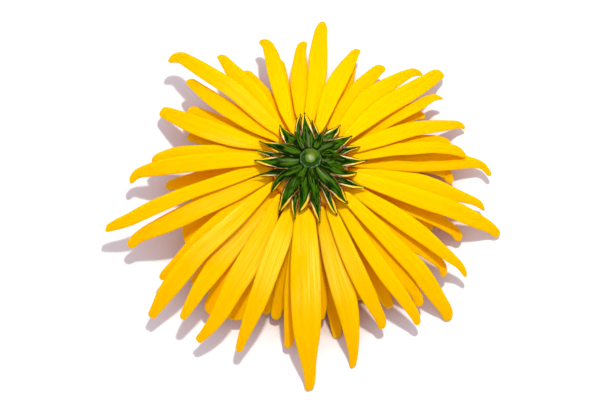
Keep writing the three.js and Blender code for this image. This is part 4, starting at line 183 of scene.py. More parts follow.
# ------------------------------------------------------------------ node helpers
class Mat:
    """A new node material with a Principled shader, and short ways to add nodes."""

    def __init__(self, name):
        self.m = bpy.data.materials.new(name)
        self.m.use_nodes = True
        self.t = self.m.node_tree
        self.n = self.t.nodes
        self.p = self.n["Principled BSDF"]

    def link(self, a, b):
        self.t.links.new(a, b)

    def put(self, socket, value):
        if isinstance(value, bpy.types.NodeSocket):
            self.link(value, socket)
        else:
            socket.default_value = value

    def attr(self, name):
        a = self.n.new("ShaderNodeAttribute")
        a.attribute_name = name
        return a.outputs["Fac"]

    def math(self, op, a, b=0.0, c=0.0, clamp=False):
        k = self.n.new("ShaderNodeMath")
        k.operation, k.use_clamp = op, clamp
        for s, v in zip(k.inputs, (a, b, c)):
            self.put(s, v)
        return k.outputs[0]

    def xyz(self, x, y, z):
        k = self.n.new("ShaderNodeCombineXYZ")
        for s, v in zip(k.inputs, (x, y, z)):
            self.put(s, v)
        return k.outputs[0]

    def noise(self, vec, scale, detail=3.0, rough=0.55, distort=0.0):
        k = self.n.new("ShaderNodeTexNoise")
        self.link(vec, k.inputs["Vector"])
        k.inputs["Scale"].default_value = scale
        k.inputs["Detail"].default_value = detail
        k.inputs["Roughness"].default_value = rough
        k.inputs["Distortion"].default_value = distort
        return k.outputs["Fac"]

    def step(self, v, lo, hi, a=0.0, b=1.0, smooth=True):
        k = self.n.new("ShaderNodeMapRange")
        k.interpolation_type = "SMOOTHSTEP" if smooth else "LINEAR"
        for s, x in zip(("Value", "From Min", "From Max", "To Min", "To Max"), (v, lo, hi, a, b)):
            self.put(k.inputs[s], x)
        return k.outputs["Result"]

    def mix(self, f, a, b, kind="MIX"):
        k = self.n.new("ShaderNodeMix")
        k.data_type, k.blend_type = "RGBA", kind
        self.put(k.inputs[0], f)
        for s, v in ((k.inputs[6], a), (k.inputs[7], b)):
            self.put(s, v if isinstance(v, bpy.types.NodeSocket) else (*v, 1.0))
        return k.outputs[2]

    def ramp(self, f, stops):
        k = self.n.new("ShaderNodeValToRGB")
        self.put(k.inputs[0], f)
        e = k.color_ramp.elements
        while len(e) < len(stops):
            e.new(0.5)
        for el, (pos, col) in zip(e, stops):
            el.position, el.color = pos, (*col, 1.0)
        return k.outputs[0]

    def bump(self, height, distance, strength=1.0, under=None):
        k = self.n.new("ShaderNodeBump")
        k.inputs["Strength"].default_value = strength
        k.inputs["Distance"].default_value = distance
        self.link(height, k.inputs["Height"])
        if under is not None:
            self.link(under, k.inputs["Normal"])
        return k.outputs[0]


def floor_material():
    """Matt white paper, evenly white also far from the lamp, with painted warm shade where the petals hang close above
    it.
    """
    m = Mat("white_floor")
    ao = m.n.new("ShaderNodeAmbientOcclusion")
    ao.samples = 12
    ao.inputs["Distance"].default_value = 0.018
    # painted shade: an ambient occlusion node tints the white warm brown under the petals, standing in for their shade
    # and yellow bounce light
    m.link(m.mix(m.step(ao.outputs["AO"], 0.18, 0.64), (0.42, 0.19, 0.035), (0.86, 0.86, 0.86)), m.p.inputs["Base Color"])
    m.p.inputs["Roughness"].default_value = 0.9
    m.p.inputs["Specular IOR Level"].default_value = 0.0
    d = m.n.new("ShaderNodeVectorMath")
    d.operation = "LENGTH"
    m.link(m.n.new("ShaderNodeTexCoord").outputs["Object"], d.inputs[0])
    m.p.inputs["Emission Color"].default_value = (1, 1, 1, 1)
    m.link(m.step(d.outputs["Value"], 0.07, 0.40, 0.0, 0.45), m.p.inputs["Emission Strength"])
    return m.m


floor_mesh.materials.append(floor_material())


def floret_material(name, base, tip, deep, sheen_colour, under):
    """A petal: golden, deeper towards its tip, softly streaked along its length, with painted shade that deepens its
    grooves and edges to orange and a painted sheen, a paler patch near the base of some petals. The side that faces the
    flower's front is a deeper orange."""
    m = Mat(name)
    v, u, g, r, top = m.attr("along"), m.attr("across"), m.attr("groove"), m.attr("rand"), m.attr("side")
    au = m.math("ABSOLUTE", u)
    vec = m.xyz(m.math("MULTIPLY", u, 2.6), m.math("MULTIPLY", v, 0.9), m.math("MULTIPLY", r, 53.0))
    streak = m.noise(vec, 2.2, 4.0, 0.6)
    broad = m.noise(m.xyz(m.math("MULTIPLY", u, 0.8), m.math("MULTIPLY", v, 2.2), m.math("MULTIPLY", r, 31.0)), 1.0, 2.0)
    vein = m.noise(m.xyz(m.math("MULTIPLY", u, 13.0), m.math("MULTIPLY", v, 1.4), m.math("MULTIPLY", r, 91.0)), 1.6, 3.0, 0.6)
    col = m.ramp(v, [(0.0, base[0]), (0.25, base[1]), (0.65, base[2]), (1.0, tip)])
    col = m.mix(m.step(streak, 0.48, 0.75, 0.0, 0.32), col, deep)
    col = m.mix(m.step(vein, 0.52, 0.70, 0.0, 0.22), col, deep)
    # painted shade: the grooves are deepened towards orange near the claw, where a crease lies in shade
    col = m.mix(m.math("MULTIPLY", g, m.step(v, 0.02, 0.25, 0.55, 0.30)), col, deep)
    # painted sheen: a paler patch partway along some petals, broken into threads, standing in for the lamp's highlight
    near = m.math("MULTIPLY", m.attr("pale"), m.step(v, 0.10, 0.30))
    near = m.math("MULTIPLY", near, m.step(v, 0.42, 0.66, 1.0, 0.0))
    near = m.math("MULTIPLY", near, m.step(broad, 0.36, 0.56))
    thread = m.noise(m.xyz(m.math("MULTIPLY", u, 7.0), m.math("MULTIPLY", v, 1.1), m.math("MULTIPLY", r, 23.0)), 1.8, 3.0, 0.6)
    near = m.math("MULTIPLY", near, m.step(thread, 0.44, 0.60, 0.08, 1.0))
    col = m.mix(near, col, sheen_colour)
    col = m.mix(m.step(thread, 0.40, 0.30, 0.0, 0.30), col, deep)
    # painted shade: the outer rim of each petal is deepened to orange, standing in for the crevice shade between
    # neighbouring petals
    col = m.mix(m.step(au, 0.84, 1.0, 0.0, 0.65), col, under)
    col = m.mix(m.step(top, 0.25, 0.75, 0.9, 0.0), col, under)
    m.link(col, m.p.inputs["Base Color"])
    m.link(m.step(streak, 0.3, 0.7, 0.46, 0.56), m.p.inputs["Roughness"])
    m.p.inputs["Specular IOR Level"].default_value = 0.0
    m.p.inputs["Subsurface Weight"].default_value = 0.55
    m.p.inputs["Subsurface Radius"].default_value = (1.0, 0.30, 0.02)
    m.p.inputs["Subsurface Scale"].default_value = 0.0009
    m.link(m.bump(vein, 0.00003, 0.45), m.p.inputs["Normal"])
    return m.m


# colours: base ramp, tip, deep, the painted sheen, and the deeper orange of the underside, which also gives the painted
# shade along the edges
PETAL = floret_material("ray_floret",
    [(0.95, 0.545, 0.003), (0.96, 0.525, 0.0), (0.96, 0.50, 0.0)], (0.95, 0.455, 0.0),
    (0.94, 0.38, 0.0), (0.97, 0.64, 0.050), (0.93, 0.36, 0.0))
INNER = floret_material("inner_floret",
    [(0.93, 0.42, 0.0), (0.93, 0.42, 0.0), (0.93, 0.43, 0.0)], (0.93, 0.42, 0.0),
    (0.90, 0.33, 0.0), (0.95, 0.50, 0.01), (0.91, 0.34, 0.0))


# ------------------------------------------------------------------ blades
def smooth_path(P, a, ends=0.0):
    """Catmull-Rom through evenly spaced stations P (n, k) at positions a in 0..1."""
    P = np.asarray(P, float)
    n = len(P)
    x = np.clip(np.asarray(a, float), 0, 1) * (n - 1)
    i = np.clip(np.floor(x).astype(int), 0, n - 2)
    f = (x - i)[..., None]
    E = np.vstack([2 * P[0] - P[1], P, 2 * P[-1] - P[-2]])
    p0, p1, p2, p3 = E[i], E[i + 1], E[i + 2], E[i + 3]
    return 0.5 * (2 * p1 + (p2 - p0) * f + (2 * p0 - 5 * p1 + 4 * p2 - p3) * f ** 2 + (3 * p1 - p0 - 3 * p2 + p3) * f ** 3)


def blade(name, P, tip, thick=0.26, cup=0.16, rows=54, cols=17, grooves=(), notch=(), slant=0.0, blunt=2.3, roll=(0.0, 0.0), wave=0.0, rand=0.5, body=None, mark=None, curl=0.0, pale=0.0):
    """A closed, thin, round-edged blade along stations P (x, y, z, half width), in mm.
    Lines of equal `s` run from the claw to the rim of the tip, so the tip's outline is modelled."""
    P = np.asarray(P, float)
    L = float(np.linalg.norm(np.diff(P[:, :3], axis=0), axis=1).sum())
    k = np.linspace(0, 1, rows)
    t = 1 - (1 - k) ** 1.35                       # closer rows towards the tip
    s = np.sin(np.linspace(-math.pi / 2, math.pi / 2, cols))
    T, Sx = np.meshgrid(t, s, indexing="ij")
    drop = tip * (1 - np.sqrt(np.clip(1 - np.abs(s) ** blunt, 0, 1)))
    for depth, at, wide in notch:
        drop = drop + depth * np.exp(-((s - at) / wide) ** 2)
    drop = drop + abs(slant) * (1 + s * np.sign(slant)) / 2
    drop = drop - drop.min()
    A = T * (1 - drop[None, :] / L)
    Q = smooth_path(P, A)
    e = 0.004
    D = smooth_path(P[:, :3], np.minimum(A + e, 1)) - smooth_path(P[:, :3], np.maximum(A - e, 0))
    D /= np.linalg.norm(D, axis=-1, keepdims=True)
    side = np.stack([-D[..., 1], D[..., 0], np.zeros_like(T)], -1)
    side /= np.linalg.norm(side, axis=-1, keepdims=True)
    up = np.cross(D, side)
    up *= np.sign(up[..., 2:3] + 1e-9)
    ang = np.radians(roll[0] + (roll[1] - roll[0]) * A)[..., None]
    side, up = side * np.cos(ang) + up * np.sin(ang), up * np.cos(ang) - side * np.sin(ang)
    w = np.maximum(Q[..., 3], 0.05)
    rel = np.zeros_like(T)
    groove = np.zeros_like(T)
    for at, depth, wide, t0, t1 in grooves:
        at_t = at * (1 - 0.25 * A)
        shape = np.exp(-((Sx - at_t) / wide) ** 2)
        fade = np.clip((A - t0) / 0.10, 0, 1) * np.clip((t1 - A) / 0.12, 0, 1)
        rel -= depth * shape * fade
        groove += shape * fade
    if mark is not None:
        groove = mark(A, Sx)
    if body is not None:
        rel += body(A, Sx, w)
    rel += wave * np.sin(A * 9.0 + rand * 20 + Sx * 1.2) * np.abs(Sx) ** 1.5
    mid = Q[..., :3] + side * (Sx * w)[..., None] + up * (rel - cup * w * np.abs(Sx) ** 2.0)[..., None]
    if curl:
        # the last millimetres of the tip bend down, or up for a negative curl
        mid = mid - up * (curl * np.clip((A - 0.86) / 0.14, 0, 1) ** 2)[..., None]
    rim = np.sqrt(np.clip(1 - np.abs(Sx) ** 2.6, 0, 1))
    endf = np.sqrt(np.clip(1 - (np.clip((T - 0.975) / 0.025, 0, 1)) ** 2, 0, 1))
    half = thick / 2 * rim * endf
    top, bot = mid + up * half[..., None], mid - up * half[..., None]
    n, c = rows, cols
    verts, index_top, index_bot = [], -np.ones((n, c), int), -np.ones((n, c), int)
    data = []
    for i in range(n):
        for j in range(c):
            index_top[i, j] = len(verts)
            verts.append(top[i, j]); data.append((A[i, j], Sx[i, j], groove[i, j], 1.0))
    for i in range(n):
        for j in range(c):
            if j in (0, c - 1) or i == n - 1:
                index_bot[i, j] = index_top[i, j]
            else:
                index_bot[i, j] = len(verts)
                verts.append(bot[i, j]); data.append((A[i, j], Sx[i, j], groove[i, j], 0.0))
    faces = []
    for i in range(n - 1):
        for j in range(c - 1):
            a, b, d, e2 = index_top[i, j], index_top[i, j + 1], index_top[i + 1, j + 1], index_top[i + 1, j]
            faces.append((a, e2, d, b))
            a, b, d, e2 = index_bot[i, j], index_bot[i, j + 1], index_bot[i + 1, j + 1], index_bot[i + 1, j]
            f = (a, b, d, e2)
            if len(set(f)) > 2:
                faces.append(f)
    # close the claw's cut end
    loop = [index_top[0, j] for j in range(c)] + [index_bot[0, j] for j in range(c - 2, 0, -1)]
    faces.append(tuple(loop))
    V = np.array(verts) * MM
    me = bpy.data.meshes.new(name)
    me.from_pydata([tuple(v) for v in V], [], [tuple(dict.fromkeys(int(q) for q in f)) for f in faces])
    me.validate()
    data = np.array(data, np.float32)
    for col, key in enumerate(("along", "across", "groove", "side")):
        me.attributes.new(key, "FLOAT", "POINT").data.foreach_set("value", np.ascontiguousarray(data[:, col]))
    me.attributes.new("rand", "FLOAT", "POINT").data.foreach_set("value", np.full(len(V), rand, np.float32))
    me.attributes.new("pale", "FLOAT", "POINT").data.foreach_set("value", np.full(len(V), pale, np.float32))
    return me, L


def outward(me):
    import bmesh
    bm = bmesh.new()
    bm.from_mesh(me)
    bmesh.ops.recalc_face_normals(bm, faces=bm.faces)
    bm.to_mesh(me)
    bm.free()
    me.shade_smooth()


def piece(name, me, material, slot, *nodes):
    outward(me)
    me.materials.clear()
    me.materials.append(material)
    ob = bpy.data.objects.new(name, me)
    scene.collection.objects.link(ob)
    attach(ob, "root")
    if nodes:
        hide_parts(*nodes)
    return ob


rng = np.random.default_rng(20240611)

# ------------------------------------------------------------------ outer ray florets
# The outline of each tip: bluntness (2 round, more is squarer), how far its left side falls
# short of its right (mm, negative for the right), and notches (depth mm, place, width).
TIPS = {
    "ray_floret_01": (2.0, 0.6, ()), "ray_floret_02": (1.9, 0.8, ()), "ray_floret_03": (2.6, 0.2, ()),
    "ray_floret_04": (1.8, 1.2, ((0.2, -0.1, 0.2),)), "ray_floret_05": (2.5, -0.1, ()), "ray_floret_06": (1.6, 1.5, ()),
    "ray_floret_07": (2.2, 1.0, ((0.15, 0.1, 0.2),)), "ray_floret_09": (1.9, 1.4, ((0.25, 0.45, 0.15),)), "ray_floret_10": (2.2, 0.2, ()),
    "ray_floret_11": (1.6, 1.3, ()), "ray_floret_12": (1.8, -0.2, ()), "ray_floret_13": (2.0, 0.1, ()),
    "ray_floret_14": (1.4, 0.4, ()), "ray_floret_15": (2.0, 0.3, ((0.2, 0.3, 0.2),)), "ray_floret_16": (1.9, 0.3, ()),
    "ray_floret_17": (2.0, 0.0, ()), "ray_floret_18": (2.2, 0.1, ()), "ray_floret_19": (2.6, 0.1, ((0.12, 0.0, 0.3),)),
    "ray_floret_20": (1.8, 0.8, ()), "ray_floret_21": (2.2, 0.7, ((0.12, 0.1, 0.2),)), "ray_floret_22": (2.0, 0.3, ()),
    "ray_floret_23": (2.2, 0.0, ()), "ray_floret_24": (2.0, 0.2, ()), "ray_floret_25": (1.9, 0.6, ()),
    "ray_floret_26": (3.0, 0.0, ((0.1, 0.1, 0.25),)), "ray_floret_27": (2.2, 0.3, ()), "ray_floret_28": (2.8, -0.1, ((0.5, 0.30, 0.13),)),
    "ray_floret_29": (2.2, 0.2, ()), "ray_floret_30": (2.0, -0.5, ((0.22, -0.2, 0.16),)), "ray_floret_31": (1.9, -0.6, ()),
    "ray_floret_33": (2.8, 0.6, ((0.15, -0.2, 0.3),)), "ray_floret_35": (2.1, -0.4, ()), "ray_floret_36": (2.3, -0.8, ()),
    "ray_floret_37": (2.0, -0.7, ()), "ray_floret_39": (2.4, -0.5, ((0.2, 0.45, 0.2),)), "ray_floret_40": (2.1, 1.0, ((0.2, -0.5, 0.15),)),
}
# florets with a painted sheen: a paler patch near the involucre, standing in for the lamp's highlight on the flatter
# petal bases
PAINTED_SHEEN = {"ray_floret_19": 0.4, "ray_floret_20": 0.9, "ray_floret_21": 1.0, "ray_floret_22": 0.7, "ray_floret_24": 1.0, "ray_floret_26": 0.5,
        "ray_floret_27": 1.0, "ray_floret_28": 0.9, "ray_floret_29": 0.3, "ray_floret_33": 0.35, "ray_floret_36": 0.3}
for name, tip, P in FLORETS:
    r = float(rng.random())
    P = np.array(P)
    w = P[:, 3].max()
    g = float(rng.uniform(0.26, 0.40))
    d = 0.05 * w
    grooves = [(-g, d * rng.uniform(0.5, 1.1), 0.12, 0.02, 1.05), (g * rng.uniform(0.8, 1.1), d * rng.uniform(0.5, 1.1), 0.12, 0.02, 1.05)]
    if rng.random() < 0.5:
        grooves.append((float(rng.uniform(-0.08, 0.08)), d * 0.5, 0.08, 0.15, 0.9))
    blunt, slant, notch = TIPS.get(name, (2.1, float(rng.uniform(-0.4, 0.4)), ()))
    me, L = blade(name, P, tip * 1.05, grooves=grooves, notch=notch, slant=slant, rand=r, blunt=blunt, pale=PAINTED_SHEEN.get(name, 0.0))
    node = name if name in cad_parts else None
    piece(name + "_fine" if node else name, me, PETAL, "ray_floret", *([node] if node else []))

# ------------------------------------------------------------------ involucre
def bract_material():
    """Dark green keel inside a thin, half clear margin with a fine brown rim, streaked with painted highlights and
    darkened by painted shade between the bracts.
    The attribute groove holds the distance from the keel line, 1 where the green ends."""
    m = Mat("bract")
    v, u, k, r, top = m.attr("along"), m.attr("across"), m.attr("groove"), m.attr("rand"), m.attr("side")
    au = m.math("ABSOLUTE", u)
    wob = m.noise(m.xyz(m.math("MULTIPLY", u, 2.5), m.math("MULTIPLY", v, 6.0), m.math("MULTIPLY", r, 61.0)), 2.0, 3.0)
    fine = m.noise(m.xyz(m.math("MULTIPLY", u, 8.0), m.math("MULTIPLY", v, 2.0), m.math("MULTIPLY", r, 17.0)), 2.0, 4.0, 0.65)
    blot = m.noise(m.xyz(m.math("MULTIPLY", u, 1.6), m.math("MULTIPLY", v, 4.5), m.math("MULTIPLY", r, 43.0)), 1.8, 2.0)
    kk = m.math("ADD", k, m.math("MULTIPLY_ADD", wob, 0.5, -0.25))
    pale = m.step(kk, 0.95, 1.18)
    green = m.mix(m.step(fine, 0.36, 0.66), (0.009, 0.050, 0.0005), (0.034, 0.120, 0.0010))
    olive = m.mix(m.step(fine, 0.36, 0.66), (0.026, 0.052, 0.002), (0.080, 0.120, 0.010))
    green = m.mix(m.math("MULTIPLY", m.step(v, 0.12, 0.62, 0.95, 0.0), m.step(wob, 0.3, 0.6, 0.45, 1.0)), green, olive)
    # painted highlight: pale grey-green streaks stand for the lamp's gloss on the waxy bracts; painted shade: dark
    # streaks between them stand for the gaps between ridges
    stripe = m.noise(m.xyz(m.math("MULTIPLY", u, 15.0), m.math("MULTIPLY", v, 1.2), m.math("MULTIPLY", r, 71.0)), 1.5, 2.0)
    green = m.mix(m.math("MULTIPLY", m.step(stripe, 0.52, 0.66), m.step(v, 0.05, 0.7, 0.55, 0.10)), green, (0.115, 0.175, 0.030))
    green = m.mix(m.math("MULTIPLY", m.step(stripe, 0.48, 0.36), m.step(v, 0.05, 0.75, 0.65, 0.25)), green, (0.004, 0.018, 0.0006))
    # painted shade: near-black blotches where the green meets the margin, standing in for the shadows between
    # overlapping bracts
    green = m.mix(m.math("MULTIPLY", m.step(k, 0.45, 0.95), m.step(blot, 0.62, 0.40, 0.15, 0.85)), green, (0.003, 0.015, 0.0006))
    # painted shade: near-black patches, strongest from the base to the middle; where the patch noise is high the green
    # is brighter instead
    patch = m.noise(m.xyz(m.math("MULTIPLY", u, 1.5), m.math("MULTIPLY", v, 2.4), m.math("MULTIPLY", r, 29.0)), 1.7, 1.0)
    green = m.mix(m.math("MULTIPLY", m.step(patch, 0.51, 0.39, 0.0, 0.92), m.step(v, 0.55, 0.80, 1.0, 0.3)), green, (0.0025, 0.012, 0.0006))
    green = m.mix(m.math("MULTIPLY", m.step(patch, 0.51, 0.62), m.step(k, 0.95, 0.5, 0.0, 0.8)), green, (0.050, 0.150, 0.003))
    # painted highlight: a paler grey-green line along the keel of some bracts
    painted_keel_highlight = m.math("MULTIPLY", m.step(k, 0.04, 0.30, 1.0, 0.0), m.step(v, 0.02, 0.50, 0.75, 0.0))
    painted_keel_highlight = m.math("MULTIPLY", painted_keel_highlight, m.step(r, 0.35, 0.85, 0.0, 0.9))
    green = m.mix(m.math("MULTIPLY", painted_keel_highlight, m.step(fine, 0.3, 0.6, 0.25, 1.0)), green, (0.17, 0.23, 0.10))
    # painted shade: dark wedges at the sides of each bract towards its base, between neighbouring bracts
    painted_gap_shade = m.math("MULTIPLY", m.step(au, 0.42, 0.78), m.step(v, 0.14, 0.46, 1.0, 0.0))
    green = m.mix(m.math("MULTIPLY", painted_gap_shade, 0.8), green, (0.003, 0.014, 0.0006))
    clear = m.mix(m.step(fine, 0.35, 0.65), (0.90, 0.49, 0.004), (0.93, 0.58, 0.03))
    milk = m.mix(m.step(fine, 0.35, 0.7), (0.80, 0.62, 0.26), (0.93, 0.86, 0.66))
    veil = m.math("MULTIPLY", m.step(blot, 0.36, 0.50), m.step(kk, 1.30, 1.95, 1.0, 0.0))
    margin = m.mix(m.math("MULTIPLY", veil, m.step(v, 0.50, 0.72, 0.95, 0.0)), clear, milk)
    margin = m.mix(m.step(kk, 1.0, 1.45, 0.55, 0.0), margin, (0.26, 0.30, 0.03))
    col = m.mix(pale, green, margin)
    rim = m.math("MAXIMUM", m.step(au, 0.66, 0.80), m.step(v, 0.91, 0.955))
    rim = m.math("MULTIPLY", rim, m.step(k, 0.95, 1.2))
    col = m.mix(m.math("MULTIPLY", rim, m.step(wob, 0.34, 0.50, 0.75, 1.0)), col, (0.120, 0.024, 0.0008))
    m.link(col, m.p.inputs["Base Color"])
    m.link(m.mix(pale, (0.55, 0.55, 0.55), (0.62, 0.62, 0.62)), m.p.inputs["Roughness"])
    m.p.inputs["Specular IOR Level"].default_value = 0.0
    m.link(m.bump(fine, 0.00008, 0.9), m.p.inputs["Normal"])
    return m.m


BRACT = bract_material()


def bract_shape(P, height, end):
    """The keel's raised back over the green part, and the distance from the keel line."""
    x = np.linspace(0, 1, len(P))

    def mark(A, S):
        return np.clip(np.abs(S - np.interp(A, x, P[:, 4])) / np.clip(np.interp(A, x, P[:, 5]), 0.08, 1.2), 0, 6)

    def body(A, S, w):
        k = mark(A, S)
        h = height * (1 - A) ** 0.6 + end
        return h * (np.clip(1 - k ** 2, 0, 1) ** 0.75 + 0.30 * np.exp(-(k / 0.16) ** 2))
    return mark, body


for name, P in BRACTS:
    r = float(rng.random())
    P = np.array(P)
    small = name.startswith("small")
    # near the stem the bracts run under one another
    rad = math.hypot(P[0, 0] - AX, P[0, 1] - AY)
    if rad < 3.0:
        reach = (rad - 2.16) / rad
        P[0, :2] -= (P[0, :2] - (AX, AY)) * reach
        P[1, :2] -= (P[1, :2] - (AX, AY)) * reach * 0.3
    P[:, 3] *= 1 + 0.40 * np.interp(np.linspace(0, 1, len(P)), (0, 0.12, 0.30, 0.5), (0.45, 1, 0.6, 0))
    mark, body = bract_shape(P, 0.24 if small else 0.30, 0.10)
    me, L = blade(name, P, 0.25, thick=0.13, cup=0.02, rows=46, cols=35, blunt=1.6, rand=r, mark=mark, body=body)
    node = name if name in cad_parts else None
    piece(name + "_fine" if node else name, me, BRACT, "bract", *([node] if node else []))


# ------------------------------------------------------------------ stem stub and receptacle
def turned(name, rings, seg=64, rib=0.0, ribs=9):
    """A closed turned solid about the flower axis from (radius, z, rib share) rings; the first and last lie on the axis."""
    verts, faces, rows = [], [], []
    for rr, z, share in rings:
        if rr < 1e-6:
            rows.append([len(verts)])
            verts.append((AX, AY, z))
        else:
            row = []
            for k in range(seg):
                a = 2 * math.pi * k / seg
                q = rr * (1 + rib * share * math.cos(ribs * a) + rib * 0.4 * share * math.cos((ribs + 4) * a + 1.3))
                row.append(len(verts))
                verts.append((AX + q * math.cos(a), AY + q * math.sin(a), z))
            rows.append(row)
    for a, b in zip(rows, rows[1:]):
        for k in range(seg):
            l = (k + 1) % seg
            q = [a[k % len(a)], a[l % len(a)], b[l % len(b)], b[k % len(b)]]
            q = list(dict.fromkeys(q))
            if len(q) > 2:
                faces.append(q)
    me = bpy.data.meshes.new(name)
    me.from_pydata([tuple(c * MM for c in v) for v in verts], [], faces)
    V = np.array(verts)
    rad = np.hypot(V[:, 0] - AX, V[:, 1] - AY).astype(np.float32)
    me.attributes.new("radius", "FLOAT", "POINT").data.foreach_set("value", rad)
    me.attributes.new("height", "FLOAT", "POINT").data.foreach_set("value", V[:, 2].astype(np.float32))
    me.attributes.new("turn", "FLOAT", "POINT").data.foreach_set("value", np.arctan2(V[:, 1] - AY, V[:, 0] - AX).astype(np.float32))
    return me


def stem_material():
    """Dark green skin with a paler torn collar; the cut face is moist green with a whitish pith and painted shade as a
    dark crescent on the near side of its hollow.
    """
    m = Mat("stem")
    tex = m.n.new("ShaderNodeTexCoord").outputs["Object"]
    rad, h = m.attr("radius"), m.attr("height")
    grain = m.noise(tex, 2600.0, 4.0, 0.6)
    coarse = m.noise(tex, 900.0, 2.0)
    skin = m.mix(m.step(grain, 0.35, 0.7), (0.006, 0.050, 0.002), (0.03, 0.13, 0.006))
    collar = m.mix(m.step(grain, 0.38, 0.62), (0.03, 0.06, 0.012), (0.17, 0.20, 0.10))
    wob = m.math("MULTIPLY_ADD", coarse, 0.8, -0.4)
    rr = m.math("ADD", rad, wob)
    face = m.mix(m.step(rr, 0.25, 0.70), (0.33, 0.37, 0.22), (0.125, 0.190, 0.008))
    turn = m.math("SINE", m.math("ADD", m.attr("turn"), m.math("MULTIPLY", coarse, 0.8)))
    face = m.mix(m.math("MULTIPLY", m.step(grain, 0.48, 0.60), 0.50), face, (0.030, 0.085, 0.006))
    # painted shade: a dark crescent on the near side of the cut face's hollow
    face = m.mix(m.math("MULTIPLY", m.step(rr, 0.80, 1.15), m.step(turn, 0.10, 0.80, 0.96, 0.18)), face, (0.0045, 0.040, 0.0015))
    collar = m.mix(m.math("MULTIPLY", m.step(turn, -0.1, 0.7), 0.75), collar, (0.05, 0.11, 0.012))
    col = m.mix(m.step(h, 25.67, 25.74), collar, skin)
    col = m.mix(m.step(h, 25.45, 25.58, 1.0, 0.0), col, skin)
    top = m.step(rad, 1.57, 1.67, 1.0, 0.0)
    col = m.mix(top, col, face)
    m.link(col, m.p.inputs["Base Color"])
    m.link(m.mix(top, (0.5, 0.5, 0.5), (0.55, 0.55, 0.55)), m.p.inputs["Roughness"])
    m.p.inputs["Specular IOR Level"].default_value = 0.06
    m.link(m.bump(grain, 0.00006, 0.7), m.p.inputs["Normal"])
    return m.m


STEM = stem_material()
me = turned("stem_stub_fine", [
    (0, 24.62, 0), (1.5, 24.62, 0), (1.95, 24.68, 0.3), (2.12, 24.9, 0.6), (2.13, 25.2, 1), (2.11, 25.46, 1), (2.06, 25.60, 1), (2.00, 25.66, 1),
    (1.92, 25.66, 1), (1.85, 25.70, 1), (1.76, 25.85, 1), (1.69, 26.0, 1), (1.62, 26.12, 0.9), (1.54, 26.18, 0.8), (1.42, 26.15, 0.6),
    (1.26, 26.05, 0.5), (1.10, 25.93, 0.5), (0.95, 25.86, 0.5), (0.78, 25.85, 0.4), (0.62, 25.91, 0.3), (0.48, 26.01, 0.2), (0.32, 26.10, 0.1), (0.15, 26.14, 0), (0, 26.15, 0)], rib=0.028)
piece("stem_stub_fine", me, STEM, "stem", "stem_stub")


def receptacle_material():
    """Green under the bracts, golden at the rim where the florets grow out."""
    m = Mat("receptacle")
    tex = m.n.new("ShaderNodeTexCoord").outputs["Object"]
    grain = m.noise(tex, 1500.0, 4.0, 0.6)
    edge = m.math("ADD", m.attr("radius"), m.math("MULTIPLY_ADD", grain, 1.2, -0.6))
    col = m.mix(m.step(grain, 0.35, 0.7), (0.006, 0.030, 0.002), (0.03, 0.09, 0.006))
    col = m.mix(m.step(edge, 5.3, 6.3), col, (0.90, 0.40, 0.004))
    m.link(col, m.p.inputs["Base Color"])
    m.p.inputs["Roughness"].default_value = 0.6
    m.p.inputs["Specular IOR Level"].default_value = 0.08
    m.link(m.bump(grain, 0.0001, 0.7), m.p.inputs["Normal"])
    return m.m


RECEPTACLE = receptacle_material()
ring = [(0, 15.35, 0), (3.0, 15.33, 0), (6.2, 15.35, 0), (6.9, 15.7, 1), (7.2, 16.3, 1), (7.22, 18.0, 1), (7.2, 19.5, 1)]
for f in (0.985, 0.95, 0.9, 0.8, 0.68, 0.55, 0.4, 0.25, 0.1):
    ring.append((7.2 * f, 15.42 + 9.0 / (1 + (7.2 * f / 7.4) ** 3), 1 if f > 0.5 else 0))
ring.append((0, 24.42, 0))
me = turned("receptacle_fine", ring, rib=0.008, ribs=17)
piece("receptacle_fine", me, RECEPTACLE, "receptacle", "receptacle")


# ------------------------------------------------------------------ packed inner florets, row by row
# the room under the outer florets: (radius, height) of their lowest undersides
ROOM = [(6.5, 13.9), (8, 13.0), (9, 13.35), (11, 13.1), (12, 12.8), (13, 12.4), (14, 11.7), (15, 10.9), (16, 10.0), (17, 9.1),
        (18, 8.1), (19, 7.05), (20, 6.0), (21, 5.0), (22, 4.1), (23, 3.2), (24, 2.1), (25, 1.3), (27, 0.7)]


def under(r_tip, depth, first=6.8):
    """A row's path just under the outer florets, as radius and height at 9 places."""
    rr = np.linspace(first, r_tip, 9)
    room = np.interp(rr, *zip(*ROOM))
    return [(float(a), float(z)) for a, z in zip(rr, room - depth * np.clip((rr - first) / 2.0, 0.15, 1))]


ROWS = [
    # count, half width, path: either 9 places, or a Bezier's claw, two handles and tip
    (25, 1.75, under(24.0, 0.42)),
    (24, 1.65, under(21.3, 1.35, 6.5)),
    (20, 1.40, [(6.0, 13.9), (9.4, 12.0), (15.0, 8.4), (17.4, 1.9)]),
    (18, 1.30, [(5.2, 14.2), (8.4, 12.3), (12.5, 7.2), (13.8, 0.8)]),
    (15, 1.20, [(4.2, 14.4), (7.0, 12.0), (9.4, 6.0), (10.2, 0.5)]),
    (12, 1.10, [(3.1, 14.5), (5.1, 11.0), (6.4, 6.0), (6.6, 0.38)]),
    (8, 0.95, [(2.0, 14.6), (3.3, 10.0), (4.0, 5.0), (3.6, 0.3)]),
    (4, 0.80, [(0.9, 14.7), (1.5, 10.0), (1.9, 5.0), (1.3, 0.3)]),
]


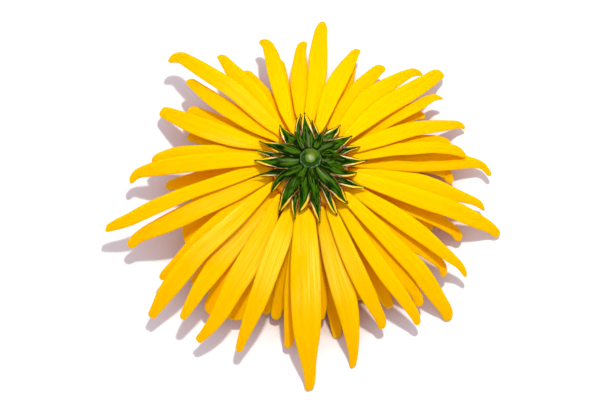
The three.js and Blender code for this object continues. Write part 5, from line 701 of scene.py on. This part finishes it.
def join_meshes(name, meshes):
    import bmesh
    out = bpy.data.meshes.new(name)
    bm = bmesh.new()
    for m in meshes:
        bm.from_mesh(m)
    bm.to_mesh(out)
    bm.free()
    for m in meshes:
        bpy.data.meshes.remove(m)
    return out


turn = 0.0
for k, (count, hw, path) in enumerate(ROWS):
    made = []
    turn += 0.37
    for j in range(count):
        phi = 2 * math.pi * (j + turn) / count + float(rng.normal(0, 0.035))
        dr, dz, dh = float(rng.normal(0, 0.35)), float(rng.uniform(0, 0.7)), float(rng.uniform(-0.25, 0.25))
        t = np.linspace(0, 1, 9)
        if len(path) == 4:
            q = [np.array(path[0]), np.array(path[1]) + (0, dh), np.array(path[2]) + (dr * 0.5, dh), np.array(path[3]) + (dr, dz)]
            u = t[:, None]
            C = (1 - u) ** 3 * q[0] + 3 * (1 - u) ** 2 * u * q[1] + 3 * (1 - u) * u * u * q[2] + u ** 3 * q[3]
        else:
            C = np.array(path)
            C[:, 0] = C[0, 0] + (C[:, 0] - C[0, 0]) * (1 + 0.09 * (rng.random() - 0.75))
            C[:, 1] = np.minimum(C[:, 1], np.interp(C[:, 0], *zip(*ROOM)) - 0.4) - 0.25 * dz * t
        C[:, 1] = np.maximum(C[:, 1], 0.32)
        lean = float(rng.normal(0, 0.05))
        a = phi + lean * t ** 1.5
        rr, z = C[:, 0], C[:, 1]
        room = 2 * math.pi * rr / count * 0.47
        w = np.minimum(hw * rng.uniform(0.9, 1.08) * (0.42 + 0.75 * np.sin(math.pi * np.clip(t * 0.72 + 0.06, 0, 1))), room)
        P = np.c_[AX + rr * np.cos(a), AY + rr * np.sin(a), z, w]
        r = float(rng.random())
        g = float(rng.uniform(0.26, 0.4))
        me, L = blade("f", P, 1.2, thick=0.22, cup=0.14, rows=30, cols=11, rand=r, grooves=[(-g, 0.05, 0.14, 0.02, 1.05), (g, 0.05, 0.14, 0.02, 1.05)])
        made.append(me)
    me = join_meshes("inner_florets_row_%d" % (k + 1), made)
    piece("inner_florets_row_%d" % (k + 1), me, INNER, "inner_floret", "centre_florets")
